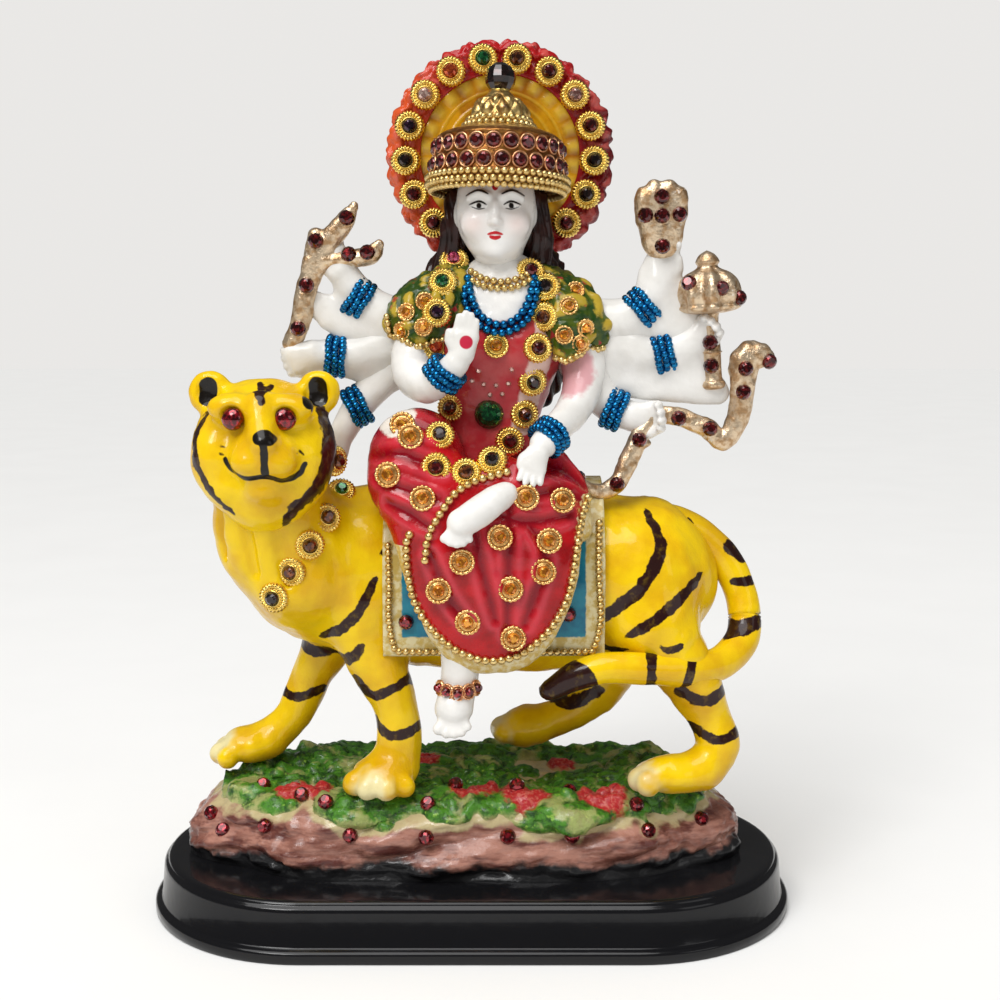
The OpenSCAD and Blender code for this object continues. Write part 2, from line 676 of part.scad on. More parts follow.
module bow() {
    color("#d8c090") on_saddle() translate([arm_out, 0, 0]) limb(
        [[69.6, -6, 134.6], [65.4, -6, 134], [63.6, -6, 128], [63, -6, 119.6], [58.6, -6, 114.6],
         [53, -6, 118.6], [47.6, -6, 121], [42, -6, 116.6], [38.4, -6.6, 110], [34.6, -8, 104.6],
         [29.6, -10, 102.8], [23.6, -12, 106]],
        [[1.2, 1.2], [2.2, 1.8], [2.3, 1.8], [2.3, 1.8], [2.3, 1.8], [2.3, 1.8], [2.3, 1.8],
         [2.2, 1.8], [2.2, 1.8], [2.2, 1.8], [2, 1.6], [1.2, 1]],
        sides = 10, steps = 3);
}

module attribute_stones() {
    // Trident, lotus, mace and bow, from one side of the figure to the other
    places = [[-28, -8.2, 165.6], [-35.6, -7.4, 160], [-28, -7.6, 155.4], [-23, -7.4, 156.4],
              [-36.8, -7.6, 149], [-39.4, -7.4, 140],
              [43.6, -7.6, 170], [39.8, -7.6, 166], [47.6, -7.6, 166], [44, -7.6, 160],
              [50.4, -11, 149.6], [56, -13.2, 149.2], [61, -11, 148.4],
              [56.6, -7.6, 137.4], [57, -7.6, 131.6],
              [66, -7.6, 134.2], [63.4, -7.6, 125.6], [58.6, -7.6, 114.6], [48.4, -7.6, 120.8],
              [39.6, -7.8, 113], [34, -9.4, 104.4], [24.6, -13, 105.6]];
    color(ruby_red) on_saddle() stones([for (p = on_shoulder(places)) [p, [0, -1, 0.1]]], ruby_d);
}

// ---- Crown ----

// Places a piece on the crown's own axis, above the brim
module on_crown() {
    on_saddle() translate(crown_c) rotate([-crown_tilt, 0, 0]) children();
}

dome_z = band_h + 1.6;

module crown() {
    r = crown_r;
    // Half profile from inside the brim over the dome to the finial's seat
    profile = [[r - 2.6, -0.6], [r, -0.6], [r + 0.6, 0.8], [r + 0.4, 2], [r, dome_z - 1],
               [r - 2, dome_z], [r - 5, dome_z + 0.8], [r - 6.6, dome_z + 3.4],
               [r - 9.4, dome_z + 7], [r - 12, dome_z + 9.4],
               [2, dome_z + 10], [0, dome_z + 10], [0, dome_z + 4], [r - 8, dome_z], [r - 4, dome_z - 2]];
    color("#a9762c") on_crown() rotate_extrude($fn = 72) polygon(profile);
}

// Beads round the crown's axis
module bead_ring(r, z, n) {
    for (k = [0 : n - 1])
        rotate([0, 0, 360 * k / n]) translate([r, 0, z]) sphere(d = bead_d);
}

module crown_beads() {
    r = crown_r;
    count = floor(3.1416 * 2 * r / bead_d * 0.8);
    color(gold) on_crown() {
        bead_ring(r + 0.2, -1, count);
        bead_ring(r + 1, 0.6, count);
        bead_ring(r - 2.6, dome_z + 0.6, count - 10);
    }
}

module crown_stones() {
    n = 26;
    color("#5c1016") on_crown() for (row = [0, 1], k = [0 : n - 1])
        rotate([0, 0, 360 * (k + row / 2) / n])
            translate([crown_r - 0.1, 0, 3.4 + row * (band_h - 5)]) rotate([0, 90, 0])
                cylinder(d = 3, h = 0.9);
}

module crown_finial() {
    r = 3.5;
    color("#0c0f0c") on_crown() translate([0, 0, dome_z + 10 + r - 0.4]) sphere(r = r);
}

// ---- Halo ----

halo_front = halo_c[1] - halo_t / 2;

// Turns a piece drawn on XY so that it faces the front at the halo's middle
module on_halo(depth) {
    on_saddle() translate([halo_c[0], depth, halo_c[2]]) rotate([90, 0, 0]) children();
}

halo_recess = 1;

module halo_plate() {
    lobes = 30;
    outline = [for (k = [0 : 179])
        let (a = 2 * k, r = halo_r - 0.7 + 0.7 * cos(lobes * a))
        [r * cos(a), r * sin(a)]];
    color("#cf2a20") on_halo(halo_c[1] + halo_t / 2) difference() {
        linear_extrude(halo_t) polygon(outline);
        translate([0, 0, halo_t - halo_recess]) cylinder(r = panel_r, h = halo_recess + 1, $fn = 96);
    }
}

module halo_panel() {
    color("#e0a000") on_halo(halo_front + halo_recess)
        cylinder(r = panel_r - panel_clear, h = halo_recess, $fn = 96);
}

function halo_rows() =
    [for (k = [0 : halo_flower_n - 1])
        let (a = -45 + 270 * k / (halo_flower_n - 1), r = panel_r + 1.8)
        [[halo_c[0] + r * cos(a), halo_front, halo_c[2] + r * sin(a)], [0, -1, 0]]];

module halo_flowers() {
    color(gold) on_saddle() settings(halo_rows(), flower_d, flower_gem_d);
}

module halo_gems() {
    color("#4c0c1c") on_saddle() gems(halo_rows(), flower_d, flower_gem_d);
}

// ---- Necklaces and garland ----

module choker_beads() {
    neck = [7.8, -2.6];
    color(gold) on_saddle() for (row = [0, 1], a = [-72 : 18 : 72])
        let (r = 5.3 + row * 0.1)
        translate([neck[0] + r * sin(a), neck[1] - r * cos(a), 151.4 - row * 1.7]) sphere(d = bead_d);
}

module blue_necklace() {
    path = [for (p = [[0.6, 148.6], [1, 145.6], [3, 142.8], [7, 141.2], [11, 142.8], [13.4, 145.6],
                      [14, 148.6]])
        on_front(torso_rows(), p[0], p[1], blue_d * 0.3)];
    color(bead_blue) on_saddle() beads(chain(path, blue_d), blue_d);
}

function garland_rows() =
    let (left = [[-7.6, 143.6], [-7.8, 136.4], [-6.8, 129], [-4.6, 122]],
         right = [[11, 119], [13, 127], [15.4, 134], [17, 142]],
         lap = [[-6.6, 114], [-4.4, 108.6], [1.6, 108.4], [7.4, 112]],
         path = chain(concat(
             [[-3.4, -6, 155], [-6, -9, 150]],
             [for (p = left) on_front(torso_rows(), p[0], p[1], 0)],
             [for (p = lap) on_front(skirt_rows(), p[0], p[1], 0)],
             [for (p = right) on_front(torso_rows(), p[0], p[1], 0)],
             [[17.6, -9, 149.6], [15.6, -6, 155]]), flower_d))
    [for (p = path) [p, [0, -1, 0.15]]];

module garland_flowers() {
    color(gold) on_saddle() settings(garland_rows(), flower_d * 0.94, flower_gem_d);
}

module garland_gems() {
    color("#5a2408") on_saddle() gems(garland_rows(), flower_d * 0.94, flower_gem_d);
}

module body_jewels() {
    // Round pendant on the chest and green stone at the waist
    pendant = on_front(torso_rows(), 5.8, 136.6, -0.3);
    belt = on_front(torso_rows(), 4.2, 120.8, -0.3);
    on_saddle() {
        color("#d08a20") settings([[pendant, [0, -1, 0.1]]], 5.4, 2.4);
        color("#0f4a24") stones([[belt, [0, -1, 0.1]]], 7);
    }
}

plinth();
ground_rock();
ground_moss();
ground_stones();
tiger_body();
tiger_neck();
tiger_head();
tiger_ears();
tiger_eyes();
tiger_front_leg_near();
tiger_front_leg_far();
tiger_hind_leg_near();
tiger_hind_leg_far();
tiger_tail();
tiger_garland_flowers();
tiger_garland_gems();
saddle_cloth();
saddle_beads();
saddle_stones();
skirt();
skirt_hem_beads();
skirt_medallions();
skirt_citrines();
crossed_foot();
hanging_foot();
anklet();
anklet_stones();
torso();
head();
hair();
arm_front_right();
arm_upper_right();
arm_middle_right();
arm_lower_right();
arm_front_left();
arm_upper_left();
arm_middle_left();
arm_lower_left();
bracelets();
shawl();
shawl_beads();
shawl_medallions();
trident();
lotus();
mace();
bow();
attribute_stones();
crown();
crown_beads();
crown_stones();
crown_finial();
halo_plate();
halo_panel();
halo_flowers();
halo_gems();
choker_beads();
blue_necklace();
garland_flowers();
garland_gems();
body_jewels();
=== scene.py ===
"""Painted, jewelled idol of a goddess on a walking tiger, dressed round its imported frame.

Lengths are in millimetres in the part's own frame. They become metres only where a mesh is made.
"""

import json
import logging
import math
from dataclasses import dataclass
from enum import Enum
from typing import Callable, Iterable, Sequence

import bpy
import numpy as np
from mathutils.bvhtree import BVHTree
from mathutils import Matrix, Vector

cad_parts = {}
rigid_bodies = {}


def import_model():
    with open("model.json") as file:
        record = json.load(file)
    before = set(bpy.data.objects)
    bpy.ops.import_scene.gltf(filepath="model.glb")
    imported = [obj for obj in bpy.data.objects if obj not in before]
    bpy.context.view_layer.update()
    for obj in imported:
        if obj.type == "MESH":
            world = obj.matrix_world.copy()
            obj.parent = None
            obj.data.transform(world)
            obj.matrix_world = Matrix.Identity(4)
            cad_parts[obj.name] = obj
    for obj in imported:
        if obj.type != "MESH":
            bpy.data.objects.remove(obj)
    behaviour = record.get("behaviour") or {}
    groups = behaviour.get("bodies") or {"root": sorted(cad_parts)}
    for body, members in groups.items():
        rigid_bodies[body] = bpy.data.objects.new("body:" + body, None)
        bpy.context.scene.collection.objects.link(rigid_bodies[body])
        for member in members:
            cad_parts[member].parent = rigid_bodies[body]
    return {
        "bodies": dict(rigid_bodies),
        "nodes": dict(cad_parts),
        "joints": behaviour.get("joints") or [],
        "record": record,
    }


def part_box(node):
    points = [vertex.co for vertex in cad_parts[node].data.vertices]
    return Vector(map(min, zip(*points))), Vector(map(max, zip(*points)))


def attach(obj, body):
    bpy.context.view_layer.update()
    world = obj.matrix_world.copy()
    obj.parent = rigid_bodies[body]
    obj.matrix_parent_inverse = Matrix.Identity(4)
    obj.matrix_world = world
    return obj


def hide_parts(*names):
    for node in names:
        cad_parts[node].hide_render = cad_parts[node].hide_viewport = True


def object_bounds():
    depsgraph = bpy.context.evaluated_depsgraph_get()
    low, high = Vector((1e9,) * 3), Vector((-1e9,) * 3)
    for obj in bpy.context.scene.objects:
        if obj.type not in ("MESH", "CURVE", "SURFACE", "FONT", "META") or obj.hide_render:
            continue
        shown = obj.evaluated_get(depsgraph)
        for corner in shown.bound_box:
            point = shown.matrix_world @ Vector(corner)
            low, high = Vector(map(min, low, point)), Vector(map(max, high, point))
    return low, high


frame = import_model()
CAD_BOX = [list(corner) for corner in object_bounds()]
MM = 0.001
EYE = np.array([6.9, -340.0, 145.3])
log = logging.getLogger("idol")

Point = Sequence[float]
Colour = tuple[float, float, float]
Array = np.ndarray


# ---------------------------------------------------------------- places in the frame


class Seat:
    """The place of a CAD node, which the pieces built for it follow."""

    def __init__(self, node: str, home: Point) -> None:
        """Keeps how far the node's box centre has moved from home.

        Args:
            node: name of the CAD node.
            home: centre of the node's box in the drawn design, in millimetres.
        """
        low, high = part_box(node)
        self.node = node
        self.low = np.array(low) / MM
        self.high = np.array(high) / MM
        self.shift = (self.low + self.high) / 2 - np.array(home, float)

    def at(self, points: Sequence) -> Array:
        """Returns drawn points, in millimetres, moved with the node."""
        return np.asarray(points, float) + self.shift

    @property
    def middle(self) -> Array:
        """Centre of the node's box in millimetres."""
        return (self.low + self.high) / 2


# ---------------------------------------------------------------- shader arithmetic


class Sock:
    """A shader socket that takes part in Python arithmetic."""

    def __init__(self, tree: "Tree", socket: bpy.types.NodeSocket) -> None:
        """Wraps one output socket of a tree."""
        self.tree = tree
        self.socket = socket

    def _pair(self, op: str, other: "Sock | float", flip: bool = False) -> "Sock":
        """Adds the node that joins this socket with another value.

        Args:
            op: name of the operation, as Math and Vector Math call it.
            other: the other socket or number.
            flip: puts the other value first.
        Returns:
            The result's socket.
        """
        first, second = (other, self) if flip else (self, other)
        if self.socket.type == "VALUE":
            return self.tree.add("ShaderNodeMath", {"operation": op}, {0: first, 1: second})
        if self.socket.type == "VECTOR":
            pair = [(v,) * 3 if isinstance(v, (int, float)) else v for v in (first, second)]
            return self.tree.add("ShaderNodeVectorMath", {"operation": op}, {0: pair[0], 1: pair[1]})
        return self.tree.blend(first, second, 1.0, op)

    def __add__(self, other: "Sock | float") -> "Sock":
        """Adds."""
        return self._pair("ADD", other)

    def __radd__(self, other: "Sock | float") -> "Sock":
        """Adds, with the number first."""
        return self._pair("ADD", other, True)

    def __sub__(self, other: "Sock | float") -> "Sock":
        """Subtracts."""
        return self._pair("SUBTRACT", other)

    def __rsub__(self, other: "Sock | float") -> "Sock":
        """Subtracts from a number."""
        return self._pair("SUBTRACT", other, True)

    def __mul__(self, other: "Sock | float") -> "Sock":
        """Multiplies."""
        return self._pair("MULTIPLY", other)

    def __rmul__(self, other: "Sock | float") -> "Sock":
        """Multiplies, with the number first."""
        return self._pair("MULTIPLY", other, True)

    def step(self, low: float, high: float) -> "Sock":
        """Returns a smooth 0 to 1 mask as the value runs from low to high."""
        return self.tree.add(
            "ShaderNodeMapRange", {"interpolation_type": "SMOOTHSTEP"},
            {"Value": self, "From Min": low, "From Max": high, "To Min": 0.0, "To Max": 1.0})


class Tree:
    """The node tree of one material."""

    def __init__(self, name: str) -> None:
        """Makes an empty material with its own Principled shader."""
        self.material = bpy.data.materials.new(name)
        self.material.use_nodes = True
        self.nodes = self.material.node_tree.nodes
        self.links = self.material.node_tree.links
        self.shader = self.nodes["Principled BSDF"]

    def add(self, kind: str, settings: dict | None = None, inputs: dict | None = None,
            out: int | str = 0) -> Sock:
        """Adds any node.

        Args:
            kind: the node's type.
            settings: the node's own settings.
            inputs: values or sockets by input name or number.
            out: the output to return.
        Returns:
            The chosen output's socket.
        """
        node = self.nodes.new(kind)
        for key, value in (settings or {}).items():
            setattr(node, key, value)
        for key, value in (inputs or {}).items():
            self.feed(node.inputs[key], value)
        return Sock(self, node.outputs[out])

    def feed(self, socket: bpy.types.NodeSocket, value: "Sock | float | Sequence") -> None:
        """Links a socket to an input, or sets the input's value."""
        if isinstance(value, Sock):
            self.links.new(value.socket, socket)
        elif socket.type == "RGBA" and len(value) == 3:
            socket.default_value = (*value, 1.0)
        else:
            socket.default_value = value

    def blend(self, first: "Sock | Colour", second: "Sock | Colour", amount: "Sock | float",
              mode: str = "MIX") -> Sock:
        """Mixes two colours.

        Args:
            first: the colour at amount 0.
            second: the colour at amount 1.
            amount: how much of the second to take.
            mode: the Mix node's blend type.
        Returns:
            The mixed colour.
        """
        return self.add("ShaderNodeMix", {"data_type": "RGBA", "blend_type": mode},
                        {0: amount, 6: first, 7: second}, out=2)

    def place(self) -> Sock:
        """Returns the point on the piece in millimetres."""
        point = self.add("ShaderNodeTexCoord", out="Object")
        return self.add("ShaderNodeVectorMath", {"operation": "SCALE"}, {0: point, "Scale": 1 / MM})

    def noise(self, size: float, detail: float = 3.0, rough: float = 0.55,
            stretch: Point = (1, 1, 1)) -> Sock:
        """Returns noise between 0 and 1.

        Args:
            size: width of a typical blotch in millimetres.
            detail: number of finer octaves.
            rough: strength of the finer octaves.
            stretch: scale along each axis; a smaller number makes longer blotches.
        Returns:
            The noise value.
        """
        point = self.place() * self.vector(stretch)
        return self.add("ShaderNodeTexNoise", {"noise_dimensions": "3D"},
                        {"Vector": point, "Scale": 1 / size, "Detail": detail, "Roughness": rough})

    def vector(self, values: Point) -> Sock:
        """Returns a fixed vector."""
        return self.add("ShaderNodeCombineXYZ", None, {0: values[0], 1: values[1], 2: values[2]})

    def paint(self, name: str) -> Sock:
        """Returns a value that the mesh carries at its points."""
        return self.add("ShaderNodeAttribute", {"attribute_name": name}, out="Fac")

    def height(self) -> Sock:
        """Returns the height of the point in millimetres."""
        return self.add("ShaderNodeSeparateXYZ", None, {0: self.place()}, out=2)

    def bump(self, height: Sock, depth: float) -> None:
        """Raises the surface by a height from 0 to 1 over a depth in millimetres."""
        normal = self.add("ShaderNodeBump", None,
                          {"Height": height, "Distance": depth * MM, "Strength": 1.0})
        self.feed(self.shader.inputs["Normal"], normal)

    def finish(self, **values: "Sock | float | Sequence") -> bpy.types.Material:
        """Feeds the shader's inputs, named with _ for a space, and returns the material."""
        for key, value in values.items():
            self.feed(self.shader.inputs[key.replace("_", " ").title().replace("Ior", "IOR")], value)
        return self.material


# ---------------------------------------------------------------- curves and meshes


def unit(v: Array) -> Array:
    """Returns a vector, or a row of vectors, at length 1."""
    v = np.asarray(v, float)
    return v / np.maximum(np.linalg.norm(v, axis=-1, keepdims=True), 1e-9)


def smooth(points: Sequence, n: int) -> Array:
    """Returns points or sizes with each gap filled by n steps of a Catmull-Rom curve."""
    p = np.asarray(points, float)
    p = p[:, None] if p.ndim == 1 else p
    ends = np.vstack([p[:1], p, p[-1:]])
    t = np.linspace(0, 1, n, endpoint=False)[:, None]
    rows = []
    for i in range(len(p) - 1):
        a, b, c, d = ends[i:i + 4]
        rows.append(0.5 * (2 * b + (c - a) * t + (2 * a - 5 * b + 4 * c - d) * t ** 2
                           + (3 * b - a - 3 * c + d) * t ** 3))
    return np.vstack(rows + [p[-1:]])


def walk(points: Sequence, pitch: float) -> Array:
    """Returns points about a fixed pitch apart along a smooth curve."""
    path = smooth(points, 12)
    run = np.concatenate([[0], np.cumsum(np.linalg.norm(np.diff(path, axis=0), axis=1))])
    count = max(2, round(run[-1] / pitch) + 1)
    place = np.linspace(0, run[-1], count)
    return np.stack([np.interp(place, run, path[:, k]) for k in range(3)], axis=1)


def noise3(p: Array, size: float, seed: int = 0) -> Array:
    """Returns smooth value noise between -1 and 1.

    Args:
        p: points, one a row, in millimetres.
        size: width of one cell.
        seed: picks another pattern.
    Returns:
        One value a point.
    """
    q = np.asarray(p, float) / size + seed * 17.3
    cell = np.floor(q).astype(np.int64)
    f = q - cell
    f = f * f * (3 - 2 * f)
    total = np.zeros(len(q))
    for corner in range(8):
        bits = np.array([corner & 1, corner >> 1 & 1, corner >> 2 & 1])
        c = cell + bits
        h = (c[:, 0] * 73856093 ^ c[:, 1] * 19349663 ^ c[:, 2] * 83492791 ^ seed * 2654435761) & 0xFFFFFF
        h = (h * 1103515245 + 12345) & 0x7FFFFFFF
        weight = np.prod(np.where(bits, f, 1 - f), axis=1)
        total += weight * (h / 0x3FFFFFFF - 1)
    return total


@dataclass
class Shape:
    """Points in millimetres and the faces that join them."""

    points: Array
    faces: list

    def moved(self, frames: Iterable[Array]) -> "Shape":
        """Returns copies of this shape at each 4x4 placing, joined in one shape."""
        homog = np.hstack([self.points, np.ones((len(self.points), 1))])
        points, faces = [], []
        for k, place in enumerate(frames):
            points.append((homog @ np.asarray(place).T)[:, :3])
            start = k * len(self.points)
            faces.extend([tuple(i + start for i in f) for f in self.faces])
        return Shape(np.vstack(points), faces)

    def __add__(self, other: "Shape") -> "Shape":
        """Joins two shapes without merging their points."""
        start = len(self.points)
        return Shape(np.vstack([self.points, other.points]),
                     list(self.faces) + [tuple(i + start for i in f) for f in other.faces])

    def object(self, name: str, material: bpy.types.Material, flat: bool = False,
               marks: dict[str, Array] | None = None) -> bpy.types.Object:
        """Makes the Blender object.

        Args:
            name: the object's name.
            material: its finish.
            flat: leaves the faces unsmoothed, as on a cut stone.
            marks: values carried at the points, by name.
        Returns:
            The new object, linked to the scene.
        """
        mesh = bpy.data.meshes.new(name)
        mesh.from_pydata((self.points * MM).tolist(), [], [tuple(f) for f in self.faces])
        mesh.polygons.foreach_set("use_smooth", [not flat] * len(mesh.polygons))
        for key, values in (marks or {}).items():
            layer = mesh.attributes.new(key, "FLOAT", "POINT")
            layer.data.foreach_set("value", np.asarray(values, np.float32))
        mesh.materials.append(material)
        mesh.validate()
        mesh.update()
        obj = bpy.data.objects.new(name, mesh)
        bpy.context.scene.collection.objects.link(obj)
        return obj


def grid_faces(rows: int, sides: int, close: bool = True, first: int = 0) -> list:
    """Returns the quads between rows of points, wrapped round when close is set."""
    faces = []
    for i in range(rows - 1):
        for k in range(sides if close else sides - 1):
            n = (k + 1) % sides
            a, b = first + i * sides, first + (i + 1) * sides
            faces.append((a + k, a + n, b + n, b + k))
    return faces


def loft(rings: Sequence) -> Shape:
    """Returns the closed shape through rings of points, which all have the same count."""
    sides, last = len(rings[0]), len(rings) - 1
    faces = grid_faces(len(rings), sides)
    faces.append(tuple(range(sides - 1, -1, -1)))
    faces.append(tuple(last * sides + k for k in range(sides)))
    return Shape(np.vstack(rings), faces)


def tube(points: Sequence, radii: Sequence, sides: int = 16, steps: int = 6,
         ref: Point = (0, 1, 0)) -> Shape:
    """Sweeps an oval along a smooth path.

    Args:
        points: path in millimetres.
        radii: (across, along ref) at each point, or one number for a round tube.
        sides: points round the oval.
        steps: smooth steps between two points.
        ref: direction that the second radius lies along.
    Returns:
        A closed shape with rounded ends.
    """
    sizes = np.array([(r, r) if np.isscalar(r) else r for r in radii], float)
    path, girth = smooth(points, steps), smooth(sizes, steps)
    way = unit(np.gradient(path, axis=0))
    across = unit(np.cross(np.array(ref, float), way))
    along = np.cross(way, across)
    angle = np.linspace(0, 2 * np.pi, sides, endpoint=False)
    rings = []
    last = len(path) - 1
    caps = [(0, -1, s) for s in (0.95, 0.7)] + [(i, 0, 1) for i in range(len(path))]
    caps += [(last, 1, s) for s in (0.7, 0.95)]
    order = sorted(range(len(caps)), key=lambda j: (caps[j][1], caps[j][0], -caps[j][1] * -caps[j][2]))
    for j in order:
        i, end, reach = caps[j]
        k = math.sqrt(1 - reach ** 2) if end else 1.0
        centre = path[i] + way[i] * end * reach * girth[i].min()
        rings.append(centre + k * (np.outer(np.cos(angle), across[i]) * girth[i][0]
            + np.outer(np.sin(angle), along[i]) * girth[i][1]))
    return loft(rings)


def lathe(profile: Sequence, sides: int = 48) -> Shape:
    """Turns a half profile of (radius, height) rows about +Z."""
    angle = np.linspace(0, 2 * np.pi, sides, endpoint=False)
    rings = [np.stack([r * np.cos(angle), r * np.sin(angle), np.full(sides, z)], axis=1)
             for r, z in ((max(r, 0.001), z) for r, z in profile)]
    return loft(rings)


def ball(radius: float, rings: int = 10, sides: int = 16) -> Shape:
    """Returns a round bead."""
    angle = np.linspace(-np.pi / 2, np.pi / 2, rings + 1)
    return lathe([(radius * math.cos(a), radius * math.sin(a)) for a in angle], sides)


def aim(place: Point, way: Point, spin: float = 0.0, size: float = 1.0) -> Array:
    """Returns the 4x4 placing that turns +Z to way at a place, spun about it."""
    turn = Vector(way).to_track_quat("Z", "Y").to_matrix().to_4x4()
    return np.array(Matrix.Translation(Vector(place)) @ turn @ Matrix.Rotation(spin, 4, "Z")
                    @ Matrix.Scale(size, 4))


# ---------------------------------------------------------------- clay


class Clay:
    """Rounded lumps melted together and turned into one skin, as a sculptor builds a figure up."""

    FAR = 6.0

    def __init__(self, melt: float, cell: float) -> None:
        """Starts with no clay.

        Args:
            melt: usual width of the fillet between two lumps, in millimetres.
            cell: size of the grid that the skin is taken from.
        """
        self.melt = melt
        self.cell = cell
        self.lumps: list[tuple] = []

    def _put(self, low: Array, high: Array, depth: Callable, cut: bool, melt: float | None) -> "Clay":
        """Keeps one lump with its box and its signed depth function."""
        self.lumps.append((low, high, depth, cut, self.melt if melt is None else melt))
        return self

    def lump(self, centre: Point, radii: Point, turn: Point = (0, 0, 0), cut: bool = False,
             melt: float | None = None) -> "Clay":
        """Adds or cuts away an egg shape.

        Args:
            centre: middle of the egg.
            radii: its three half lengths.
            turn: its rotation about X, Y and Z in degrees.
            cut: takes the clay away.
            melt: width of its own fillet.
        Returns:
            This clay.
        """
        c, r = np.array(centre, float), np.array(radii, float)
        spin = np.array(Matrix.Rotation(math.radians(turn[2]), 3, "Z")
                        @ Matrix.Rotation(math.radians(turn[1]), 3, "Y")
                        @ Matrix.Rotation(math.radians(turn[0]), 3, "X"))

        def depth(p: Array) -> Array:
            """Signed distance to the egg, near enough close to its skin."""
            q = (p - c) @ spin
            k0 = np.linalg.norm(q / r, axis=-1)
            k1 = np.linalg.norm(q / r ** 2, axis=-1)
            return k0 * (k0 - 1) / np.maximum(k1, 1e-6)

        reach = r.max()
        return self._put(c - reach, c + reach, depth, cut, melt)

    def limb(self, points: Sequence, radii: Sequence, squash: Point = (1, 1, 1), cut: bool = False,
             melt: float | None = None, steps: int = 3) -> "Clay":
        """Adds or cuts away a rounded limb along a smooth path.

        Args:
            points: path of the limb.
            radii: its radius at each point.
            squash: its thickness along each axis, as a share of the radius.
            cut: takes the clay away.
            melt: width of its own fillet.
            steps: smooth steps between two points.
        Returns:
            This clay.
        """
        path, girth = smooth(points, steps), smooth(radii, steps)[:, 0]
        s = np.array(squash, float)
        a, b = path[:-1] / s, path[1:] / s
        along = b - a
        length2 = np.maximum((along ** 2).sum(axis=1), 1e-9)

        def depth(p: Array) -> Array:
            """Least signed distance to the limb's tapered stretches."""
            q = p / s
            best = np.full(q.shape[:-1], 1e3)
            for i in range(len(a)):
                t = np.clip(((q - a[i]) @ along[i]) / length2[i], 0, 1)
                near = np.linalg.norm(q - a[i] - t[..., None] * along[i], axis=-1)
                best = np.minimum(best, near - girth[i] - t * (girth[i + 1] - girth[i]))
            return best * s.min()

        reach = girth.max()
        return self._put(path.min(axis=0) - reach, path.max(axis=0) + reach, depth, cut, melt)

    def _field(self) -> tuple[Array, Array]:
        """Returns the signed depth on a grid and the grid's lowest corner."""
        solid = [lump for lump in self.lumps if not lump[3]]
        low = np.min([lump[0] for lump in solid], axis=0) - 2 * self.cell
        high = np.max([lump[1] for lump in solid], axis=0) + 2 * self.cell
        count = np.ceil((high - low) / self.cell).astype(int) + 1
        value = np.full(count, self.FAR, np.float32)
        axes = [low[k] + self.cell * np.arange(count[k]) for k in range(3)]
        for lo, hi, depth, cut, melt in self.lumps:
            pad = melt + 2 * self.cell
            i0 = np.clip(np.floor((lo - pad - low) / self.cell).astype(int), 0, count)
            i1 = np.clip(np.ceil((hi + pad - low) / self.cell).astype(int) + 1, 0, count)
            if (i1 <= i0).any():
                continue
            part = tuple(slice(i0[k], i1[k]) for k in range(3))
            grid = np.stack(np.meshgrid(*[axes[k][part[k]] for k in range(3)], indexing="ij"), axis=-1)
            d = depth(grid.reshape(-1, 3)).reshape(grid.shape[:3]).astype(np.float32)
            d = -d if cut else d
            old = value[part]
            soft = np.maximum(melt - np.abs(old - d), 0) ** 2 / (4 * melt)
            value[part] = np.maximum(old, d) + soft if cut else np.minimum(old, d) - soft
        return value, low

    def skin(self, relax: int = 2) -> Shape:
        """Returns the clay's surface.

        Args:
            relax: rounds of evening the points out over the surface.
        Returns:
            A closed shape of small quads.
        """
        value, low = self._field()
        inside = value < 0
        shape = np.array(value.shape)
        cells = shape - 1
        corner = [(i, j, k) for i in (0, 1) for j in (0, 1) for k in (0, 1)]

        def at(block: Array, c: tuple) -> Array:
            """Returns the block's values at one corner of every cell."""
            return block[c[0]:c[0] + cells[0], c[1]:c[1] + cells[1], c[2]:c[2] + cells[2]]

        filled = sum(at(inside, c).astype(np.int8) for c in corner)
        live = (filled > 0) & (filled < 8)
        index = np.full(cells, -1, np.int64)
        index[live] = np.arange(live.sum())
        base = np.argwhere(live)
        total, hits = np.zeros((len(base), 3)), np.zeros(len(base))
        for a in corner:
            for axis in range(3):
                if a[axis]:
                    continue
                b = tuple(a[m] + (m == axis) for m in range(3))
                va, vb = at(value, a)[live], at(value, b)[live]
                cross = (va < 0) != (vb < 0)
                t = va / np.where(cross, va - vb, 1)
                spot = np.array(a, float) + np.eye(3)[axis] * t[:, None]
                total += spot * cross[:, None]
                hits += cross
        points = low + (base + total / hits[:, None]) * self.cell
        faces = []
        for axis in range(3):
            u, v = (axis + 1) % 3, (axis + 2) % 3
            span = [slice(1, -1)] * 3
            span[axis] = slice(0, -1)
            ahead = [slice(1, -1)] * 3
            ahead[axis] = slice(1, None)
            here, there = inside[tuple(span)], inside[tuple(ahead)]
            for flip, mask in ((False, here & ~there), (True, ~here & there)):
                spots = np.argwhere(mask) + 1
                spots[:, axis] -= 1
                quad = []
                for du, dv in ((0, 0), (1, 0), (1, 1), (0, 1)):
                    q = spots.copy()
                    q[:, u] -= 1 - du
                    q[:, v] -= 1 - dv
                    quad.append(index[q[:, 0], q[:, 1], q[:, 2]])
                quad = np.stack(quad[::-1] if flip else quad, axis=1)
                faces.append(quad)
        quads = np.vstack(faces)
        for _ in range(relax):
            points = self._settle(points, quads, value, low)
        return Shape(points, quads.tolist())

